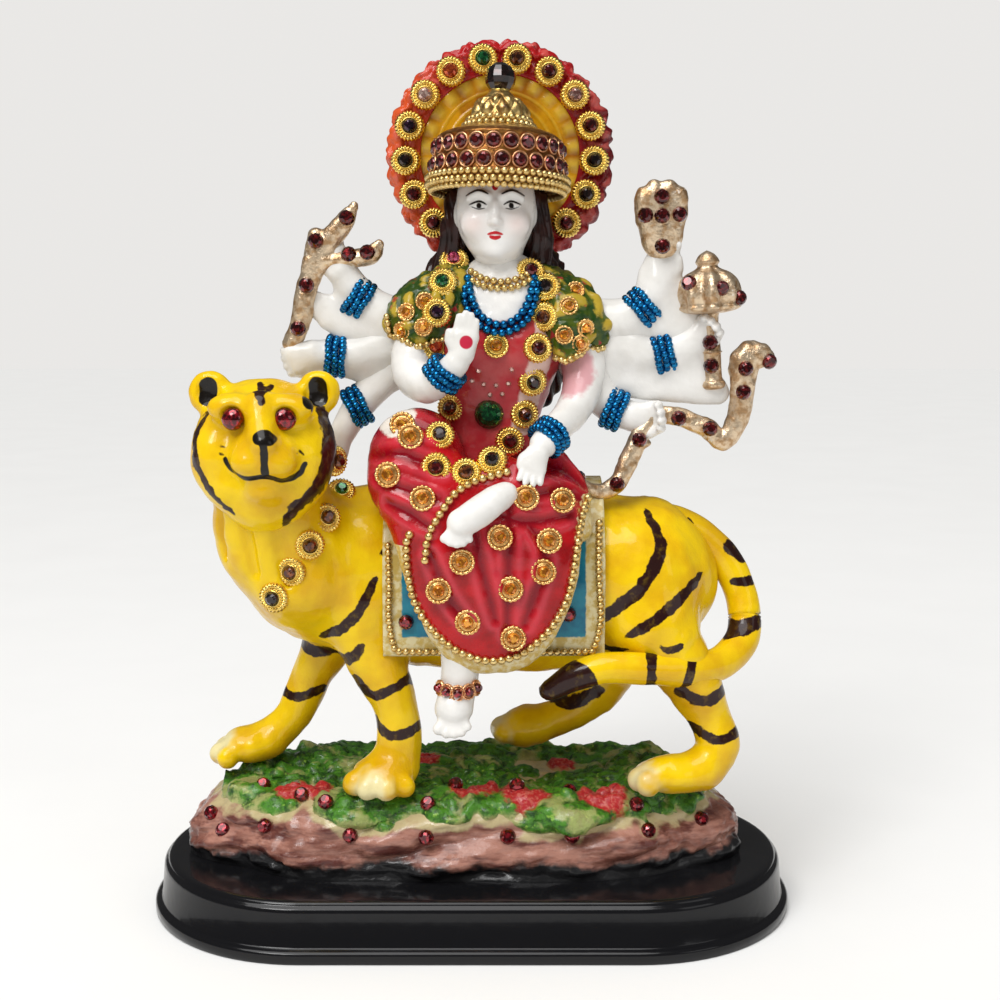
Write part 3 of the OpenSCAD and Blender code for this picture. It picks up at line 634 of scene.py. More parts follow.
    def _settle(self, points: Array, quads: Array, value: Array, low: Array) -> Array:
        """Evens the points out and puts them back on the skin."""
        ends = np.vstack([quads[:, [k, (k + 1) % 4]] for k in range(4)])
        total, count = np.zeros_like(points), np.zeros(len(points))
        for k in range(3):
            total[:, k] = np.bincount(ends[:, 0], points[ends[:, 1], k], len(points))
        count = np.maximum(np.bincount(ends[:, 0], minlength=len(points)), 1)
        points = 0.4 * points + 0.6 * total / count[:, None]
        g = (points - low) / self.cell
        cell = np.clip(np.floor(g).astype(int), 0, np.array(value.shape) - 2)
        f = g - cell
        depth, slope = np.zeros(len(points)), np.zeros((len(points), 3))
        for bits in ((i, j, k) for i in (0, 1) for j in (0, 1) for k in (0, 1)):
            v = value[cell[:, 0] + bits[0], cell[:, 1] + bits[1], cell[:, 2] + bits[2]]
            w = [f[:, m] if bits[m] else 1 - f[:, m] for m in range(3)]
            depth += v * w[0] * w[1] * w[2]
            for m in range(3):
                rest = w[(m + 1) % 3] * w[(m + 2) % 3]
                slope[:, m] += v * rest * (1 if bits[m] else -1) / self.cell
        size = np.maximum((slope ** 2).sum(axis=1), 0.2)
        return points - slope * (depth / size)[:, None]


def normals(shape: Shape) -> Array:
    """Returns the outward direction at each point."""
    p = shape.points
    out = np.zeros_like(p)
    f = np.array([q[:4] for q in shape.faces if len(q) == 4])
    n = np.cross(p[f[:, 2]] - p[f[:, 0]], p[f[:, 3]] - p[f[:, 1]])
    for k in range(4):
        for axis in range(3):
            out[:, axis] += np.bincount(f[:, k], n[:, axis], len(p))
    return unit(out)


@dataclass(frozen=True)
class Stroke:
    """A brush stroke seen from the front, as a line with a width that swells in the middle."""

    line: tuple
    width: float
    depth: tuple = (-100.0, 100.0)
    even: bool = False

    def distance(self, p: Array) -> Array:
        """Returns how far points lie outside the stroke, in millimetres, below 0 inside."""
        path = smooth([(x, 0.0, z) for x, z in self.line], 5)[:, [0, 2]]
        a, b = path[:-1], path[1:]
        q = p[:, [0, 2]]
        best = np.full(len(q), 50.0)
        count = len(a)
        for i in range(count):
            along = b[i] - a[i]
            t = np.clip(((q - a[i]) @ along) / max(along @ along, 1e-9), 0, 1)
            share = (i + t) / count
            swell = 1.0 if self.even else 0.35 + 0.65 * np.sin(np.pi * np.clip(share, 0.0, 1.0)) ** 0.6
            gap = np.linalg.norm(q - a[i] - t[:, None] * along, axis=1)
            best = np.minimum(best, gap - self.width / 2 * swell)
        outside = (p[:, 1] < self.depth[0]) | (p[:, 1] > self.depth[1])
        return np.where(outside, 50.0, best)


def brushed(p: Array, strokes: Iterable[Stroke], wobble: float = 0.35) -> Array:
    """Returns the distance to the nearest of several strokes, with a hand-painted edge."""
    best = np.full(len(p), 50.0)
    for stroke in strokes:
        best = np.minimum(best, stroke.distance(p))
    return best + wobble * noise3(p, 1.6, 3) + 0.5 * wobble * noise3(p, 0.7, 5)


# ---------------------------------------------------------------- finishes


@dataclass(frozen=True)
class Lacquer:
    """Brushed enamel under a clear lacquer, a little uneven in colour and thickness."""

    name: str
    colour: Colour
    shade: Colour
    blotch: float = 6.0
    rough: float = 0.16
    ripple: float = 0.12
    grain: float = 0.6

    def colouring(self, tree: Tree) -> Sock:
        """Returns the paint's colour, mixed from the two tones in soft blotches."""
        cloudy = tree.noise(self.blotch, 3.0).step(0.38, 0.68)
        return tree.blend(self.colour, self.shade, cloudy)

    def surface(self, tree: Tree, colour: Sock) -> bpy.types.Material:
        """Adds the uneven lacquer over a colour and returns the material."""
        worn = tree.noise(1.4, 2.0)
        tree.bump(tree.noise(2.2, 2.0) * 0.7 + tree.noise(self.grain, 2.0) * 0.3, self.ripple)
        return tree.finish(base_color=colour, roughness=worn * 0.25 + self.rough + 0.08,
            specular_ior_level=0.14, coat_weight=0.42, coat_roughness=0.04)

    def make(self) -> bpy.types.Material:
        """Returns the finished material."""
        tree = Tree(self.name)
        return self.surface(tree, self.colouring(tree))


@dataclass(frozen=True)
class TigerPaint(Lacquer):
    """Yellow enamel with ochre painted shade on the undersides, ochre blotches and brushed brown stripes."""

    stripe: Colour = (0.020, 0.004, 0.003)

    def make(self) -> bpy.types.Material:
        """Returns the finished material; the mesh carries the stripes' distance as stripe."""
        tree = Tree(self.name)
        base = self.colouring(tree)
        # Ochre painted shade on the body's low, downward-facing undersides, mixed with random ochre blotches.
        shade_and_blotch = tree.paint("shade_and_blotch")
        base = tree.blend(base, (0.45, 0.20, 0.004), shade_and_blotch * 0.75)
        pale = tree.paint("pale")
        base = tree.blend(base, (0.72, 0.68, 0.42), pale)
        streak = tree.noise(0.9, 3.0) * 0.5
        edge = (tree.paint("stripe") + streak - 0.25).step(0.16, -0.16)
        thin = tree.noise(1.8, 3.0).step(0.2, 0.5) * 0.12 + 0.88
        base = tree.blend(base, self.stripe, edge * thin)
        ink = tree.paint("ink").step(0.12, -0.12)
        base = tree.blend(base, (0.006, 0.004, 0.003), ink)
        return self.surface(tree, base)


@dataclass(frozen=True)
class Rock:
    """Rough cast rock, black at the foot, pink brown above and cream under the moss."""

    name: str

    def make(self) -> bpy.types.Material:
        """Returns the finished material."""
        tree = Tree(self.name)
        z = tree.height() + (tree.noise(9.0, 4.0) - 0.5) * 9.0
        streaks = tree.noise(5.0, 5.0, 0.65, (0.35, 0.35, 1.6))
        pink = tree.blend((0.17, 0.060, 0.042), (0.40, 0.19, 0.14), streaks.step(0.35, 0.62))
        vein = tree.noise(5.5, 4.0, 0.6, (0.3, 0.8, 1.7)).step(0.50, 0.64)
        brown = tree.blend(pink, (0.085, 0.018, 0.014), vein * 0.9)
        shore = (tree.paint("shore") + (tree.noise(3.0, 4.0) - 0.5) * 1.1).step(0.35, 0.95)
        cream = tree.blend(brown, (0.50, 0.42, 0.22), shore * 0.9)
        low = tree.blend((0.010, 0.010, 0.011), cream, z.step(16.0, 18.0))
        grit = tree.noise(1.1, 4.0)
        tree.bump(tree.noise(3.0, 5.0) * 0.6 + grit * 0.4, 0.5)
        return tree.finish(base_color=low, roughness=grit * 0.3 + 0.2, specular_ior_level=0.3,
                           coat_weight=0.4, coat_roughness=0.10)


@dataclass(frozen=True)
class Moss:
    """Stippled greens over cream with patches of red flowers; the greens are darker in the low parts of the
    bump as painted shade.
    """

    name: str

    def make(self) -> bpy.types.Material:
        """Returns the finished material; the mesh carries the flower patches as bloom."""
        tree = Tree(self.name)
        clump = tree.noise(2.6, 5.0, 0.7)
        # The moss's own dark and light greens are placed by the clump noise that also raises the bump, so the
        # low parts are darker as painted shade.
        green = tree.blend((0.012, 0.055, 0.006), (0.060, 0.215, 0.012), clump.step(0.36, 0.58))
        green = tree.blend(green, (0.20, 0.38, 0.04), tree.noise(1.5, 4.0).step(0.60, 0.70))
        cream = tree.noise(7.0, 4.0).step(0.52, 0.62)
        green = tree.blend(green, (0.44, 0.42, 0.16), cream * 0.6)
        bloom = (tree.paint("bloom") + tree.noise(1.6, 4.0) * 3.2 - 1.6).step(0.8, -0.8)
        petals = tree.blend((0.42, 0.014, 0.018), (0.55, 0.12, 0.09), tree.noise(0.8, 2.0).step(0.45, 0.70))
        colour = tree.blend(green, petals, bloom)
        rim = tree.paint("rim")
        colour = tree.blend(colour, (0.50, 0.44, 0.20), (rim + (clump - 0.5) * 1.2).step(0.35, 0.95) * 0.85)
        tree.bump(clump * 0.5 + tree.noise(0.7, 4.0) * 0.5, 0.6)
        return tree.finish(base_color=colour, roughness=clump * 0.35 + 0.25, specular_ior_level=0.3,
                           coat_weight=0.3, coat_roughness=0.12)


@dataclass(frozen=True)
class Metal:
    """Thin metal plating or metallic paint with a worn, slightly uneven polish."""

    name: str
    colour: Colour
    shade: Colour
    rough: float = 0.22
    metallic: float = 1.0
    worn: float = 0.0
    bare: Colour = (0.75, 0.72, 0.66)
    size: float = 1.6
    depth: float = 0.05

    def make(self) -> bpy.types.Material:
        """Returns the finished material."""
        tree = Tree(self.name)
        patch = tree.noise(self.size, 4.0)
        colour = tree.blend(self.colour, self.shade, patch.step(0.40, 0.66))
        bare = tree.noise(self.size * 1.7, 5.0, 0.7).step(0.62, 0.70) * self.worn
        colour = tree.blend(colour, self.bare, bare)
        tree.bump(tree.noise(self.size * 0.4, 3.0), self.depth)
        return tree.finish(base_color=colour, roughness=patch * 0.25 + self.rough,
                           metallic=self.metallic - bare * self.metallic)


@dataclass(frozen=True)
class Jewel:
    """Foil-backed cut stone: a tinted mirror under a clear top, with painted glints in small patches of a
    lighter colour.
    """

    name: str
    colour: Colour
    deep: Colour

    def make(self) -> bpy.types.Material:
        """Returns the finished material."""
        tree = Tree(self.name)
        # Painted glints: small patches of the lighter colour over the deep one stand in for light flashing in
        # the stone.
        painted_glint = tree.noise(0.9, 2.0).step(0.42, 0.66)
        colour = tree.blend(self.deep, self.colour, painted_glint)
        return tree.finish(base_color=colour, metallic=0.75, roughness=painted_glint * 0.12 + 0.12,
                           coat_weight=1.0, coat_roughness=0.02)


@dataclass(frozen=True)
class Gloss:
    """Smooth moulded gloss with faint handling marks."""

    name: str
    colour: Colour

    def make(self) -> bpy.types.Material:
        """Returns the finished material."""
        tree = Tree(self.name)
        smear = tree.noise(14.0, 4.0, 0.6, (1.0, 1.0, 3.0))
        fine = tree.noise(0.35, 2.0).step(0.60, 0.75)
        colour = tree.blend(self.colour, (0.012, 0.012, 0.013), fine * 0.4)
        tree.bump(tree.noise(6.0, 2.0), 0.10)
        return tree.finish(base_color=colour, roughness=smear * 0.16 + 0.08, specular_ior_level=0.2,
                           coat_weight=0.22, coat_roughness=0.03)


class Palette:
    """Every finish of the idol, made once."""

    def __init__(self) -> None:
        """Mixes all the finishes."""
        self.black = Gloss("black_gloss", (0.006, 0.006, 0.007)).make()
        self.rock = Rock("painted_rock").make()
        self.moss = Moss("painted_moss").make()
        self.tiger = TigerPaint("tiger_paint", (0.83, 0.56, 0.001), (0.70, 0.40, 0.001), 11.0,
                                ripple=0.2).make()
        # Each stone's first colour is its painted glint colour, the second its deep colour.
        self.ruby = Jewel("red_stone", (0.38, 0.008, 0.020), (0.07, 0.002, 0.005)).make()
        self.citrine = Jewel("citrine_stone", (0.95, 0.42, 0.03), (0.55, 0.16, 0.01)).make()
        self.gold = Metal("gold_setting", (0.95, 0.70, 0.20), (0.80, 0.52, 0.11), 0.14).make()
        self.garnet = Jewel("garnet_stone", (0.20, 0.006, 0.008), (0.04, 0.002, 0.003)).make()
        self.amber_gold = Metal("amber_setting", (0.92, 0.60, 0.24), (0.72, 0.38, 0.12), 0.16).make()
        self.rose = Metal("rose_setting", (0.90, 0.50, 0.26), (0.66, 0.30, 0.14), 0.18).make()
        self.bead_gold = Metal("gold_bead", (0.80, 0.60, 0.26), (0.62, 0.42, 0.15), 0.24, worn=0.25).make()
        self.blue = Metal("blue_bead", (0.012, 0.19, 0.42), (0.004, 0.08, 0.22), 0.14, 0.9).make()
        self.white = Lacquer("white_paint", (0.80, 0.785, 0.755), (0.70, 0.685, 0.65), 9.0, 0.14).make()
        self.saddle = SaddlePaint("cloth_blue_paint", (0.012, 0.21, 0.30), (0.006, 0.11, 0.20), 6.0).make()
        self.skirt = SkirtPaint("red_paint", (0.46, 0.004, 0.008), (0.28, 0.002, 0.004), 7.0, 0.04,
            0.25).make()
        self.blouse = BlousePaint("blouse_paint", (0.40, 0.014, 0.022), (0.42, 0.050, 0.050), 5.0).make()
        self.shawl = ShawlPaint("shawl_paint", (0.060, 0.090, 0.006), (0.015, 0.050, 0.006), 4.0).make()
        self.face = FacePaint("face_paint", (0.82, 0.805, 0.78), (0.76, 0.74, 0.71), 8.0, 0.10, 0.04).make()
        self.skin = SkinPaint("skin_paint", (0.80, 0.785, 0.755), (0.70, 0.685, 0.65), 9.0, 0.14).make()
        self.hair = Lacquer("hair_paint", (0.026, 0.005, 0.003), (0.010, 0.003, 0.002), 3.0, 0.26, 0.3).make()
        self.copper = Metal("crown_paint", (0.30, 0.13, 0.03), (0.15, 0.05, 0.014), 0.22, 0.85, 0.35,
            (0.70, 0.48, 0.16), 1.3, 0.12).make()
        self.leaf_gold = Metal("leaf_gold", (0.72, 0.52, 0.20), (0.30, 0.15, 0.04), 0.22, 0.95, 0.2, size=2.2,
                               depth=0.12).make()
        # The halo's darker second tone is its painted shade on the right side.
        self.halo = HaloPaint("halo_red_paint", (0.40, 0.008, 0.010), (0.14, 0.005, 0.008), 6.0, 0.10,
            0.3).make()
        self.panel = PanelPaint("halo_gold_paint", (0.66, 0.31, 0.001), (0.36, 0.12, 0.001), 8.0, 0.10,
            0.2).make()
        self.pale_gold = Metal("gold_paint", (0.74, 0.58, 0.40), (0.46, 0.28, 0.14), 0.24, 0.85, 0.8,
            (0.80, 0.76, 0.68), 1.8, 0.2).make()
        self.surfaces: list[Shape] = []
        self.casting: Shape | None = None
        self.bust: Shape | None = None
        self.gems: dict = {}

    def gem(self, stone: "Stone") -> bpy.types.Material:
        """Returns the finish of a gem colour, made when it is first used."""
        if stone not in self.gems:
            glint_colour, deep = stone.value
            self.gems[stone] = Jewel(stone.name.lower() + "_stone", glint_colour, deep).make()
        return self.gems[stone]


# ---------------------------------------------------------------- shared trim


def settle(piece: bpy.types.Object, slot: str, *nodes: str, seat: Seat | None = None) -> bpy.types.Object:
    """Lets a piece ride on the idol and lets it stand for CAD nodes.

    Args:
        piece: the finished object.
        slot: the record's material slot; not used.
        nodes: the CAD nodes that it stands for.
        seat: the place that the piece was drawn around; the piece moves with it.
    Returns:
        The same object.
    """
    if seat:
        piece.data.transform(Matrix.Translation(Vector(seat.shift * MM)))
    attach(piece, "root")
    if nodes:
        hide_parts(*nodes)
    log.info("%s: %d faces, for %s", piece.name, len(piece.data.polygons), ", ".join(nodes) or "trim")
    return piece


@dataclass(frozen=True)
class CutStone:
    """Round flat-backed stone with a table and two rows of facets."""

    width: float
    height: float = 0.42
    sides: int = 12

    def shape(self) -> Shape:
        """Returns the stone standing on XY."""
        r, h = self.width / 2, self.width * self.height
        half = math.pi / self.sides
        rings = [(r * 0.96, -0.2 * h, 0), (r, 0.18 * h, 0), (r * 0.80, 0.68 * h, half), (r * 0.50, h, 0)]
        rows = []
        for radius, z, turn in rings:
            a = np.linspace(0, 2 * np.pi, self.sides, endpoint=False) + turn
            rows.append(np.stack([radius * np.cos(a), radius * np.sin(a), np.full(self.sides, z)], axis=1))
        n = self.sides
        faces = grid_faces(2, n)
        for k in range(n):
            m = (k + 1) % n
            low, mid, top = n, 2 * n, 3 * n
            faces += [(low + k, low + m, mid + k), (low + m, mid + m, mid + k),
                      (mid + k, mid + m, top + m), (mid + k, top + m, top + k)]
        faces.append(tuple(range(n - 1, -1, -1)))
        faces.append(tuple(3 * n + k for k in range(n)))
        return Shape(np.vstack(rows), faces)


# ---------------------------------------------------------------- plinth and ground


@dataclass
class Plinth:
    """Glossy oblong plinth with round ends, a rounded top edge and a foot flange."""

    finishes: Palette
    flange_h: float = 3.0
    flange_out: float = 1.7
    draft: float = 0.7
    top_step: float = 0.8
    round_sides: int = 40

    def outline(self, grow: float, z: float) -> Array:
        """Returns the stadium outline at a height, shrunk inward by grow."""
        low, high = self.seat.low, self.seat.high
        length, width = (high - low)[:2] / 2
        r = width - grow
        cx = length - width
        a = np.linspace(-np.pi / 2, np.pi / 2, self.round_sides + 1)
        right = np.stack([cx + r * np.cos(a), r * np.sin(a)], axis=1)
        ring = np.vstack([right, -right])
        return np.hstack([ring + self.seat.middle[:2], np.full((len(ring), 1), z)])

    def build(self) -> None:
        """Makes the plinth."""
        self.seat = Seat("plinth", (0, 0, 6.6))
        z0, z1 = self.seat.low[2], self.seat.high[2]
        f, out = self.flange_h, self.flange_out
        wall, top = out + self.draft, out + self.draft + self.top_step
        profile = [(1.2, z0), (0.35, z0), (0.0, z0 + 0.4), (0.0, z0 + f - 0.8), (0.25, z0 + f - 0.3),
                   (0.9, z0 + f), (out - 0.3, z0 + f + 0.15), (out, z0 + f + 0.5),
                   (wall - 0.05, z1 - 2.2), (wall + 0.1, z1 - 1.5), (wall + 0.5, z1 - 1.05),
                   (top + 0.1, z1 - 0.85), (top + 0.25, z1 - 0.6), (top + 0.4, z1 - 0.2),
                   (top + 0.9, z1), (top + 2.2, z1)]
        rings = [self.outline(grow, z) for grow, z in profile]
        piece = loft(rings).object("plinth_shell", self.finishes.black)
        settle(piece, "black_gloss", "plinth")


@dataclass
class Ground:
    """Rock slab with a mossy top and red stones set in both."""

    finishes: Palette
    stone_w: float = 3.8
    sides: int = 380
    low_row: tuple = ((-63, -7), (-48.6, -21), (-27.9, -24.5), (-10.2, -26.2), (8.7, -26.6), (23.6, -26),
                      (41.6, -22.5), (55.1, -18.5))
    high_row: tuple = ((-59.5, -12), (-50.5, -7), (-40.2, -14.5), (-33.8, -20), (-9.9, -20.5), (-3.7, -12.5),
                       (10.9, -16.5), (23.5, -11.5), (39.0, -17), (-24.5, 1))
    blooms: tuple = ((-40, -10, 7.0), (1, -14, 6.0), (13, -17, 6.0), (31, -16, 6.0), (-12, 10, 4),
        (22, 12, 4))

    def edge(self, a: Array) -> Array:
        """Returns the outline's radius, as a share of its half sizes, in each direction."""
        box = (np.abs(np.cos(a)) ** 3 + np.abs(np.sin(a)) ** 3) ** (-1 / 3)
        circle = np.stack([np.cos(a), np.sin(a), 0 * a], axis=1)
        corner = sum(deep * np.exp(-((a - math.radians(turn)) / wide) ** 2)
                     for deep, turn, wide in ((0.09, 222, 0.22), (0.05, 320, 0.2)))
        return box * (1 - corner + 0.03 * noise3(circle, 0.45, 1) + 0.015 * noise3(circle, 0.16, 2))

    def height(self, x: Array, y: Array) -> Array:
        """Returns the height of the slab's top surface over its middle part."""
        flat = np.stack([x, y, 0 * x], axis=1)
        rise = 1.6 * noise3(flat, 16, 4) + 0.8 * noise3(flat, 6, 5)
        return self.top - 1.2 + rise + np.clip(y, -25, 20) * 0.02

    def rock(self) -> Shape:
        """Returns the slab, ringed from the foot up over the rim to the middle of the top."""
        a = np.linspace(0, 2 * np.pi, self.sides, endpoint=False)
        half = (self.seat.high - self.seat.low)[:2] / 2 * 0.985
        base, rise = self.foot, self.top - self.foot
        rows = [(-0.02, 0.975), (0.08, 0.985), (0.16, 0.99), (0.24, 0.985), (0.33, 0.985), (0.44, 0.97),
            (0.54, 0.95), (0.64, 0.925), (0.73, 0.895), (0.81, 0.86), (0.88, 0.82), (0.94, 0.77),
            (0.97, 0.72)]
        dense = np.vstack([smooth(rows, 4), [(0.97, scale) for scale in np.linspace(0.71, 0.01, 62)]])
        edge = self.edge(a)
        rings = []
        for share, scale in dense:
            ring = np.stack([self.seat.middle[0] + half[0] * edge * scale * np.cos(a),
                             self.seat.middle[1] + half[1] * edge * scale * np.sin(a),
                             np.full(self.sides, base + rise * share)], axis=1)
            over = np.clip((share - 0.80) / 0.17, 0, 1)
            ring[:, 2] += over * (self.height(ring[:, 0], ring[:, 1]) - ring[:, 2]) * np.clip(
                (0.86 - scale) / 0.14, 0, 1)
            out = np.stack([np.cos(a), np.sin(a), 0 * a], axis=1)
            slant = np.stack([ring[:, 0] * 0.35 + ring[:, 2] * 0.8, ring[:, 1] * 0.4,
                ring[:, 2] * 1.1 - ring[:, 0] * 0.35], axis=1)
            ledge = 4.6 * np.abs(noise3(slant, 9.5, 6)) + 1.6 * np.abs(noise3(slant, 4.2, 7)) - 2.2
            ledge += 0.6 * noise3(ring, 1.8, 8) + 0.3 * noise3(ring, 0.9, 16)
            ring += out * (ledge * np.clip(share / 0.1, 0, 1) * (1 - over))[:, None]
            ring[:, 2] += (0.5 * noise3(ring, 2.2, 9) + 0.25 * noise3(ring, 1.0, 10)) * over
            ring[:, 0] = np.clip(ring[:, 0], self.seat.low[0], self.seat.high[0])
            rings.append(ring)
        return loft(rings)

    def cover(self, p: Array) -> Array:
        """Returns how far the moss covers each point of the slab, from 0 to 1."""
        level = (p[:, 2] - self.foot) / (self.top - self.foot)
        reach = level + 0.16 * noise3(p, 9.0, 11) + 0.10 * noise3(p, 3.4, 12)
        return np.clip((reach - 0.70) / 0.14, 0, 1)

    def moss(self, rock: Shape) -> tuple[Shape, dict]:
        """Returns the moss that lies on the slab, with the marks for its colours.

        Args:
            rock: the slab, whose upper rings the moss follows.
        """
        n = normals(rock)
        keep = 26 * self.sides
        p, out = rock.points[keep:], n[keep:]
        cover = self.cover(p)
        clump = np.abs(noise3(p, 4.4, 13)) * 2.3 + np.abs(noise3(p, 1.9, 14)) * 0.9 + 0.25 * noise3(p, 0.9,
            15)
        points = p + out * (cover * (0.35 + clump) - 0.9 * (1 - cover))[:, None]
        bloom = np.full(len(points), 30.0)
        for x, y, r in self.blooms:
            bloom = np.minimum(bloom, np.hypot(points[:, 0] - x, (points[:, 1] - y) * 1.2) - r)
        shape = loft(points.reshape(-1, self.sides, 3))
        return shape, {"bloom": bloom, "rim": np.clip(1.1 - cover, 0, 1)}

    def build(self) -> None:
        """Makes the slab, the moss and the stones."""
        self.seat = Seat("ground_rock", (-1.5, 2.0, 22.2))
        self.foot, self.top = self.seat.low[2], self.seat.high[2]
        rock = self.rock()
        shore = self.cover(rock.points + (0, 0, 2.2))
        rock_piece = settle(rock.object("rock_slab", self.finishes.rock, marks={"shore": shore}),
            "painted_rock", "ground_rock")
        moss, marks = self.moss(rock)
        moss_piece = moss.object("moss_layer", self.finishes.moss, marks=marks)
        settle(moss_piece, "painted_moss", "ground_moss")
        self.stones(rock_piece, moss_piece)

    def stones(self, rock: bpy.types.Object, moss: bpy.types.Object) -> None:
        """Sets the red stones on the surfaces under them."""
        bpy.context.view_layer.update()
        frames = []
        for x, y in self.low_row:
            side = unit(np.array([x * 0.012, -1.0, 0.25]))
            hit, place, way, _ = rock.ray_cast(Vector((x * MM, -60 * MM, (self.foot + 10.5) * MM)),
                Vector((0, 1, 0)))
            if hit:
                frames.append(aim(np.array(place) / MM, unit(np.array(way) + 1.5 * side)))
        for x, y in self.high_row:
            for under in (moss, rock):
                hit, place, way, _ = under.ray_cast(Vector((x * MM, y * MM, 60 * MM)), Vector((0, 0, -1)))
                if hit:
                    frames.append(aim(np.array(place) / MM + (0, 0, 0.2), unit((0, -0.75, 0.8))))
                    break
        stones = CutStone(self.stone_w).shape().moved(frames)
        settle(stones.object("ground_rubies", self.finishes.ruby, flat=True), "red_stone", "ground_stones")


# ---------------------------------------------------------------- tiger


@dataclass
class Tiger:
    """Walking tiger with its head turned to the front, as one casting with a separate head and tail."""

    finishes: Palette
    cell: float = 0.62
    head_cell: float = 0.42
    eye_r: float = 2.55
    far: tuple = (0.0, 40.0)
    near: tuple = (-40.0, 0.0)

    def body_clay(self) -> Clay:
        """Returns the barrel, chest, neck and the four legs."""
        clay = Clay(5.0, self.cell)
        clay.limb([(-34, -4, 84), (-23, 0, 81.5), (8, 0, 80), (32, 0, 79.5), (42, 0, 80)],
                  [17, 21.4, 22.3, 21.3, 17.5], squash=(1, 0.78, 1))
        clay.lump((43, 0, 83), (9.5, 13.5, 15.5)).lump((-42, -7, 90), (12.5, 12, 13))
        clay.limb([(-37, -8, 84), (-44, -13, 93), (-46, -17, 104)], [16, 15, 12.5])
        clay.lump((-40, -18, 81), (7, 7.5, 6.5), melt=7)
        clay.lump((-25, -12.5, 82), (9.5, 6.5, 15), (0, 12, 0)).lump((-33, 9, 82), (9, 7, 13))
        clay.lump((39, -10, 79), (13, 8.5, 15), (0, -18, 0)).lump((37, 9, 74), (11, 7.5, 14), (0, 15, 0))
        clay.limb([(-26, -12, 75), (-22.5, -13, 64), (-18.6, -14, 54.5), (-17, -14, 46), (-17.6, -14.4, 38)],
                  [8.6, 6.8, 5.3, 5.0, 5.3], melt=4)
        clay.limb([(-33, 8, 76), (-35.5, 8, 64), (-40.2, 8, 53.5), (-44.6, 7.6, 44), (-50, 6.4, 38.6)],
                  [8.4, 6.6, 5.1, 4.7, 4.7], melt=4)
        clay.limb([(43, -11, 70), (50.5, -12, 60), (56.4, -12, 50), (58.6, -12.6, 42), (55.5, -14, 37)],
                  [10, 7.2, 5.2, 5.0, 5.0], melt=4)
        clay.limb([(36, 10, 64), (34.5, 10.5, 54), (28.5, 11, 46), (20.5, 11, 41.5), (13.5, 10.6, 40)],
                  [8.4, 6.4, 5.1, 4.6, 4.4], melt=4)
        self.paw(clay, (-20.6, -17, 36.2), (7.2, 7.2, 4.8),
            [(-27, -19.4), (-23.6, -22.4), (-19.2, -23.2), (-15.4, -20.8)])
        self.paw(clay, (-55.5, 5, 36.8), (7.0, 6.2, 4.6), [(-60.4, 0.2), (-62.6, 3.4), (-61.8, 7.2)])
        self.paw(clay, (48, -15.8, 36.2), (9.0, 5.6, 4.6), [(41.6, -19.6), (39.8, -16.6), (41.4, -13.4)])
        self.paw(clay, (13.0, 10.4, 40.0), (6.4, 5.4, 4.6), [(8.2, 7.6), (7.4, 10.6), (8.6, 13.4)], 39.4)
        for x, y, z, r in ((-50, -27.5, 94, 1.3), (-42.5, -28.4, 92, 1.2), (-56.5, -23, 97, 1.1)):
            clay.limb([(x, y, z + 7), (x + 0.8, y + 0.6, z), (x + 2, y + 2.6, z - 8)], [0.8, r, 0.6],
                cut=True, melt=2.4)
        return clay

    def paw(self, clay: Clay, middle: Point, radii: Point, toes: Sequence, z: float = 35.0) -> None:
        """Adds a paw with its toes parted by grooves.

        Args:
            clay: the clay to add to.
            middle: centre of the paw.
            radii: its half sizes.
            toes: the (x, y) of each toe.
            z: height of the toes.
        """
        clay.lump(middle, radii, melt=3)
        for x, y in toes:
            clay.lump((x, y, z), (2.9, 2.9, 3.0), melt=1.1)

    def stripes(self) -> list[Stroke]:
        """Returns the brown brush strokes of the body and legs, as they are seen from the front."""
        near, far = self.near, self.far
        return [
            Stroke(((-21.6, 83.5), (-24.8, 77), (-29, 72.4), (-34.6, 69.2)), 2.7),
            Stroke(((-13, 96), (-15.6, 92), (-20.4, 89)), 2.4),
            Stroke(((-24.5, 68.2), (-28, 64.4), (-32.4, 65)), 3.0, near),
            Stroke(((-26.5, 59.6), (-22.2, 55.8), (-14.8, 59.0), (-12.8, 58)), 2.5, near, True),
            Stroke(((-23.5, 49.8), (-18.2, 46.4), (-11.2, 48.0)), 2.5, near, True),
            Stroke(((-44.8, 64.4), (-38.6, 61.4), (-31.6, 61.8), (-26, 58)), 3.0, far, True),
            Stroke(((-49.4, 51.2), (-43.6, 49.4), (-37.4, 51.2)), 2.4, far, True),
            Stroke(((41.2, 97.6), (44.2, 91), (40.4, 82.6), (33.4, 76.2), (27.6, 72)), 3.2),
            Stroke(((54.5, 83.2), (48.6, 78.6), (41.6, 73.4), (35.6, 69.6)), 2.7),
            Stroke(((30, 66.8), (33, 65.8), (36.2, 66.4)), 1.8, near),
            Stroke(((43.6, 67.8), (46.2, 67), (48.6, 68)), 1.8, near),
            Stroke(((48.8, 56.6), (54.2, 54.2), (60.2, 56.8), (64, 60.5)), 2.8, near, True),
            Stroke(((52.2, 47.4), (57.6, 44.8), (64.4, 46.6)), 2.4, near, True),
            Stroke(((23.6, 54.2), (28.8, 53.6), (36.4, 55.4), (41, 54)), 2.4, far, True),
            Stroke(((18.8, 48.4), (24.4, 46.6), (31.6, 50.6)), 3.0, far, True),
            Stroke(((-30, 98), (-34, 93), (-36, 88)), 2.0, (2.0, 40.0)),
            Stroke(((22, 99), (24, 90), (20, 82)), 2.6, (2.0, 40.0)),
            Stroke(((-2, 100), (0, 90), (-4, 82)), 2.6, (2.0, 40.0)),
        ]

    def marks(self, p: Array, normal: Array) -> dict[str, Array]:
        """Returns the paint marks of the body's points."""
        stripe = brushed(p, self.stripes())
